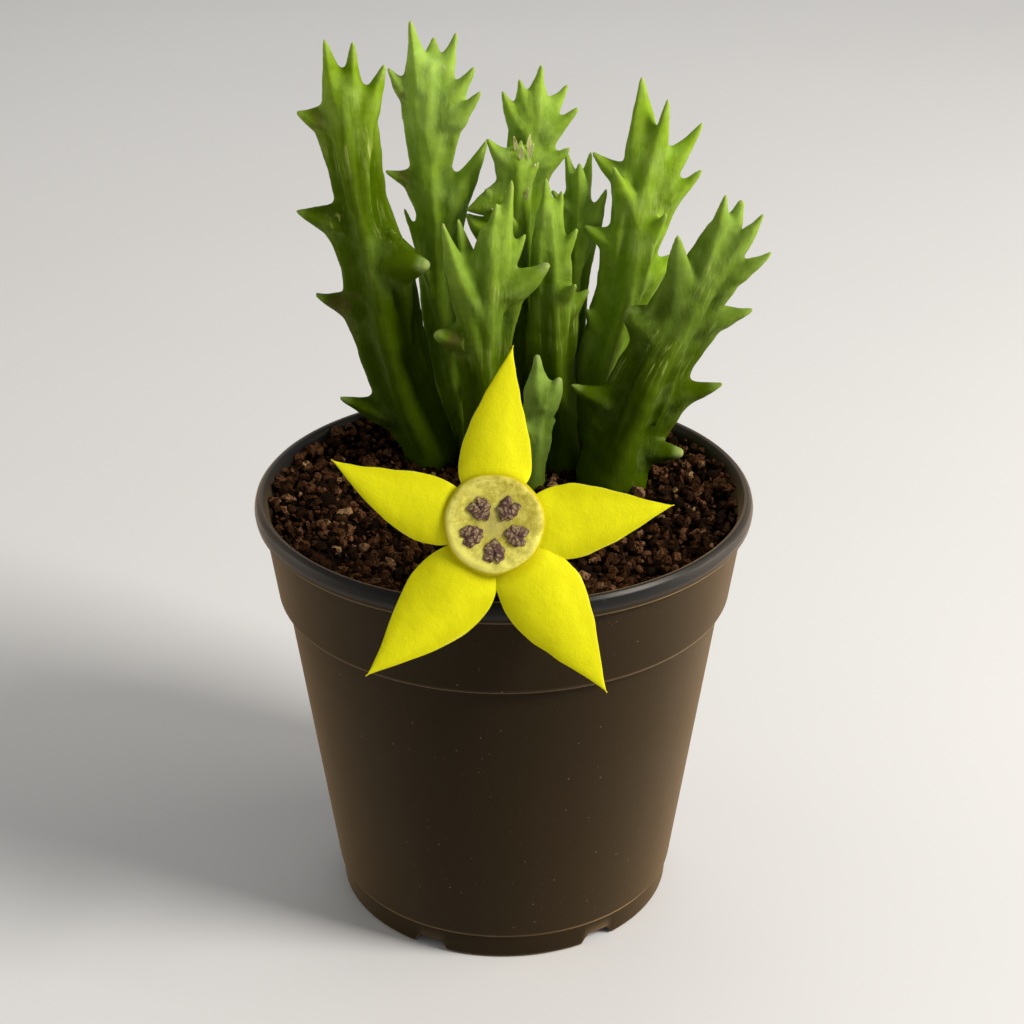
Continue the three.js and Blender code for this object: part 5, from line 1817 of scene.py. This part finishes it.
@dataclass
class Disc:
    """The raised waxy disc in the middle of the flower, rolled over and sunk in at its edge."""

    radius: float = 8.3
    floor: float = 0.1
    rise: float = 1.35
    dish: float = 0.16
    shoulder: float = 7.0
    lift: float = 0.3
    sides: int = 160

    def build(self) -> None:
        """Turns the disc, makes it slightly uneven and dresses it.

        Its height is a floor plus a rise that ends in a quarter circle beyond the shoulder, and
        it is dished towards the middle by the square of the distance.
        """
        out = np.concatenate([np.linspace(0.01, 5.4, 22), np.linspace(5.6, self.radius, 22)])
        past = np.clip((out - self.shoulder) / (self.radius - self.shoulder), 0, 1)
        dish = self.dish * (out / self.shoulder) ** 2
        height = self.floor + (self.rise + dish) * np.sqrt(1 - past ** 2)
        under = [[self.radius, -0.1], [0.01, -0.1]]
        outline = np.concatenate([np.stack([out, height], axis=1), under])
        surface = turned(outline, self.sides)
        points = surface.points
        out = np.hypot(points[:, 0], points[:, 1])
        clock = np.arctan2(points[:, 1], points[:, 0])
        warp = 1 + 0.012 * np.sin(3 * clock + 0.7) + 0.008 * np.sin(7 * clock)
        points[:, :2] *= lerp(1, warp, smoothstep(5, 8, out))[:, None]
        upper = smoothstep(1.0, 1.5, points[:, 2])
        points[:, 2] += upper * (0.05 * ripple(points, 2.6, 5) + 0.05 * ripple(points, 7, 6))
        points[:, 1] += self.lift
        piece = place("flower_disc_wax", leaned(surface))
        around = np.stack([np.cos(clock) * 0.6, np.sin(clock) * 0.6, out], axis=1)
        store(piece, outward=np.clip(out / self.radius, 0, 1), flow=around * MM)
        settle(piece, "flower_disc", DISC_WAX, "flower_disc")


@dataclass
class CoronaLobe:
    """One dark lobe of the corona: two low ovals side by side, with dark wandering lines."""

    index: int
    circle: float = 3.7
    half_length: float = 2.0
    half_width: float = 1.65
    low: float = 1.6
    base: float = 1.3
    rise: float = 0.55
    drop: float = 0.45
    sides: int = 72
    rings: int = 26

    def build(self) -> None:
        """Raises the cushion as a function of angle and distance, and dresses it."""
        turn = round_angles(self.sides)[None, :]
        way = np.linspace(0, 1, self.rings)[:, None]
        draw = np.random.default_rng(70 + self.index)
        split = 1 - 0.42 * np.exp(-(np.minimum(turn, 2 * math.pi - turn) / 0.20) ** 2)
        cheeks = 1 + 0.16 * np.cos(2 * (np.abs(turn - math.pi) - 2.2)) ** 3
        frill = (1 + 0.06 * np.sin(9 * turn + draw.uniform(0, 6))
                 + 0.05 * np.sin(5 * turn + draw.uniform(0, 6)))
        reach = split * cheeks * frill * np.sin(way * math.pi / 2)
        u = self.half_length * reach * np.cos(turn)
        v = self.half_width * reach * np.sin(turn)
        grid = np.stack([u, v * 0.7, np.full(u.shape, 9.0 * self.index)], axis=-1).reshape(-1, 3)
        wander = np.abs(ripple(grid, 0.95, 31 + self.index)).reshape(u.shape)
        comb = smoothstep(0.18, 0.60, wander) * smoothstep(1.0, 0.72, way)
        comb *= 1 - np.exp(-(v / 0.16) ** 2) * smoothstep(-0.8, 0.2, u)
        dome = np.cos(way * math.pi / 2) ** 0.7
        groove = 1 - 0.55 * np.exp(-(v / 0.22) ** 2) * smoothstep(-0.6, 0.4, u)
        top = self.low + self.rise * dome * (1 - 0.16 * comb) * groove
        raised = swung(self.circle + u, v, top, notch_angle(self.index))[::-1]
        raised[..., 1] -= self.drop
        base = raised[:1].copy()
        base[..., 2] = self.base
        name = f"corona_lobe_{self.index + 1}"
        piece = place(name + "_skin", leaned(loft(np.concatenate([base, raised]))))
        comb_rows = np.concatenate([comb[-1:], comb[::-1]]).ravel()
        store(piece, comb=np.append(comb_rows, [0.5, 0.5]))
        settle(piece, "corona_lobe", LOBE_SKIN, name)


@dataclass
class FlowerStalk:
    """The stalk from the foot of the front stem to the back of the flower, with its sepals."""

    radius: float = 1.15
    calyx: float = 2.3
    sepal_length: float = 4.2

    def tube(self) -> Surface:
        """Returns the round tube along the stalk's line, swollen where it meets the flower."""
        rows = np.asarray(STALK_LINE, float)
        at = np.linspace(0, len(rows) - 1, 110)
        centre = curve_rows(rows, at)
        tangent = unit(np.gradient(centre, axis=0))
        share = at / at[-1]
        radius = lerp(self.radius, self.calyx, np.clip((share - 0.85) / 0.15, 0, 1) ** 1.5)
        angle = round_angles(28)
        return loft(sections(centre, RIGHT, unit(np.cross(tangent, RIGHT)),
                             radius[:, None] * np.cos(angle), radius[:, None] * np.sin(angle)))

    def sepal(self, index: int) -> Surface:
        """Returns one narrow green sepal, flat behind a notch between two petals."""
        way = np.linspace(0, 1, 24)[:, None]
        turn = round_angles(20)[None, :]
        half = 1.1 * np.sqrt(np.clip(1 - way ** 1.8, 0.004, 1))
        distance = lerp(0.6, self.sepal_length + 0.8, way) + 0 * turn
        z = -1.7 - 0.2 * way + 0.3 * np.sin(turn) * np.sqrt(half / 1.1)
        return leaned(loft(swung(distance, half * np.cos(turn), z, notch_angle(index))))

    def build(self) -> None:
        """Joins tube and sepals into one skin and dresses it."""
        skin = Relaxer(fused([self.tube()] + [self.sepal(k) for k in range(5)], 0.2))
        skin.relax(6, 0.5, 0.35, np.zeros(len(skin.points)))
        piece = place("flower_stalk_skin", Surface(skin.points, [skin.quads]))
        settle(piece, "stalk_skin", STALK_SKIN, "flower_stalk")


@dataclass(frozen=True)
class Husk:
    """One withered scrap on a stem: a thin curled flake, rooted in the skin."""

    place: tuple[float, float, float]
    length: float
    width: float
    lean: Span

    def surface(self) -> Surface:
        """Returns the flake: oval sections carried up a parabola that leans over.

        The half width follows the sine of the way up, and the thickness stays the same.
        """
        t = np.linspace(0, 1, 12)[:, None]
        lean = np.array([*self.lean, 0.0])
        centre = np.array(self.place) + self.length * (t * UP + t ** 2 * lean)
        tangent = unit(UP + 2 * t * lean)
        side = unit(np.cross(tangent, np.array([0.25, 1.0, 0.0])))
        turn = round_angles(12)
        half = self.width / 2 * np.sin(math.pi * (0.22 + 0.70 * t))
        bow = 0.35 * half * np.cos(turn) ** 2
        return loft(sections(centre, side, np.cross(side, tangent), half * np.cos(turn),
                             0.09 * np.sin(turn) - bow))


def build_husks() -> None:
    """Joins all withered scraps into one piece."""
    piece = place("withered_scraps", Surface.joined([Husk(*row).surface() for row in HUSKS]))
    settle(piece, "stem_skin", DRY_HUSK)


@dataclass(frozen=True)
class FloorPaper(Finish):
    """A plain pale floor with the faintest cloudiness."""

    pale: Color = (0.80, 0.785, 0.765)

    def paint(self, net: Network, shader: Node) -> None:
        """Varies the pale colour very slightly."""
        cloud = net.span(net.noise(net.place(), 300, 3), 0.3, 0.7)
        net.feed(shader.inputs["Base Color"],
                 net.mix(cloud, self.pale, tuple(0.97 * c for c in self.pale)))


@dataclass(frozen=True)
class Lamp:
    """One square soft light aimed at the plant. Its place and side are in metres."""

    name: str
    place: Color
    side: float
    watts: float
    color: Color

    def hang(self) -> None:
        """Makes the light and turns it to the plant."""
        data = bpy.data.lights.new(self.name, "AREA")
        data.size, data.energy, data.color = self.side, self.watts, self.color
        lamp = add_object(self.name, data)
        lamp.location = self.place
        aim = Vector((0, 0, 0.09)) - Vector(self.place)
        lamp.rotation_euler = aim.to_track_quat("-Z", "Y").to_euler()


@dataclass
class Studio:
    """The camera at the photograph's angle, a pale floor and soft light."""

    lens_mm: float = 77.34
    sensor_mm: float = 36.0
    clip: Span = (0.01, 20)
    pitch: float = 26.16
    distance: float = 400.25
    target: tuple[float, float, float] = (1.47, 0.0, 76.2)
    floor_radius: float = 2.2
    floor_sides: int = 96
    sky: Color = (0.97, 0.985, 1.0)
    sky_strength: float = 0.29
    lamps: tuple[Lamp, ...] = (
        Lamp("key", (0.85, -0.36, 0.80), 0.38, 13.8, (1.0, 0.975, 0.94)),
        Lamp("rear", (0.0, 0.8, 0.8), 0.7, 1.4, (1.0, 1.0, 1.0)),
        Lamp("right_edge", (0.80, 0.10, 0.14), 0.45, 3.3, (1.0, 0.90, 0.78)),
        Lamp("left_edge", (-0.80, 0.10, 0.10), 0.45, 1.4, (1.0, 0.92, 0.80)))

    def camera(self) -> None:
        """Places the camera on its arc and aims it at the target."""
        data = bpy.data.cameras.new("camera")
        data.sensor_width, data.lens = self.sensor_mm, self.lens_mm
        data.clip_start, data.clip_end = self.clip
        camera = add_object("camera", data)
        pitch, target = math.radians(self.pitch), Vector(self.target) * MM
        back = Vector((0, -math.cos(pitch), math.sin(pitch)))
        camera.location = target + back * self.distance * MM
        camera.rotation_euler = (-back).to_track_quat("-Z", "Y").to_euler()
        bpy.context.scene.camera = camera

    def floor(self) -> None:
        """Lays a large round floor under the pot."""
        disc = spun(np.array([[self.floor_radius / MM, 0.0]]), self.floor_sides)[0]
        floor = place("floor", Surface(disc, [np.arange(self.floor_sides)[None, :]]))
        paper = FloorPaper("floor_paper", roughness=0.75, specular=0.2)
        floor.data.materials.append(paper.material())

    def build(self) -> None:
        """Sets up camera, floor, sky and lights."""
        self.camera()
        self.floor()
        world = bpy.data.worlds.new("soft_sky")
        world.use_nodes = True
        backdrop = world.node_tree.nodes["Background"]
        backdrop.inputs["Color"].default_value = (*self.sky, 1.0)
        backdrop.inputs["Strength"].default_value = self.sky_strength
        bpy.context.scene.world = world
        bpy.context.scene.view_settings.view_transform = "Standard"
        for lamp in self.lamps:
            lamp.hang()


def main() -> None:
    """Builds the object piece by piece."""
    logging.basicConfig(level=logging.INFO, format="%(name)s %(message)s")
    Studio().build()
    Pot().build()
    PottingPlug().build()
    for number, row in enumerate(STEMS):
        Stem(**row).build(seed=100 + number)
    build_husks()
    FlowerStalk().build()
    Corolla().build()
    Disc().build()
    for index in range(5):
        CoronaLobe(index).build()
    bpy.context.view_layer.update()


if __name__ == "__main__":
    main()
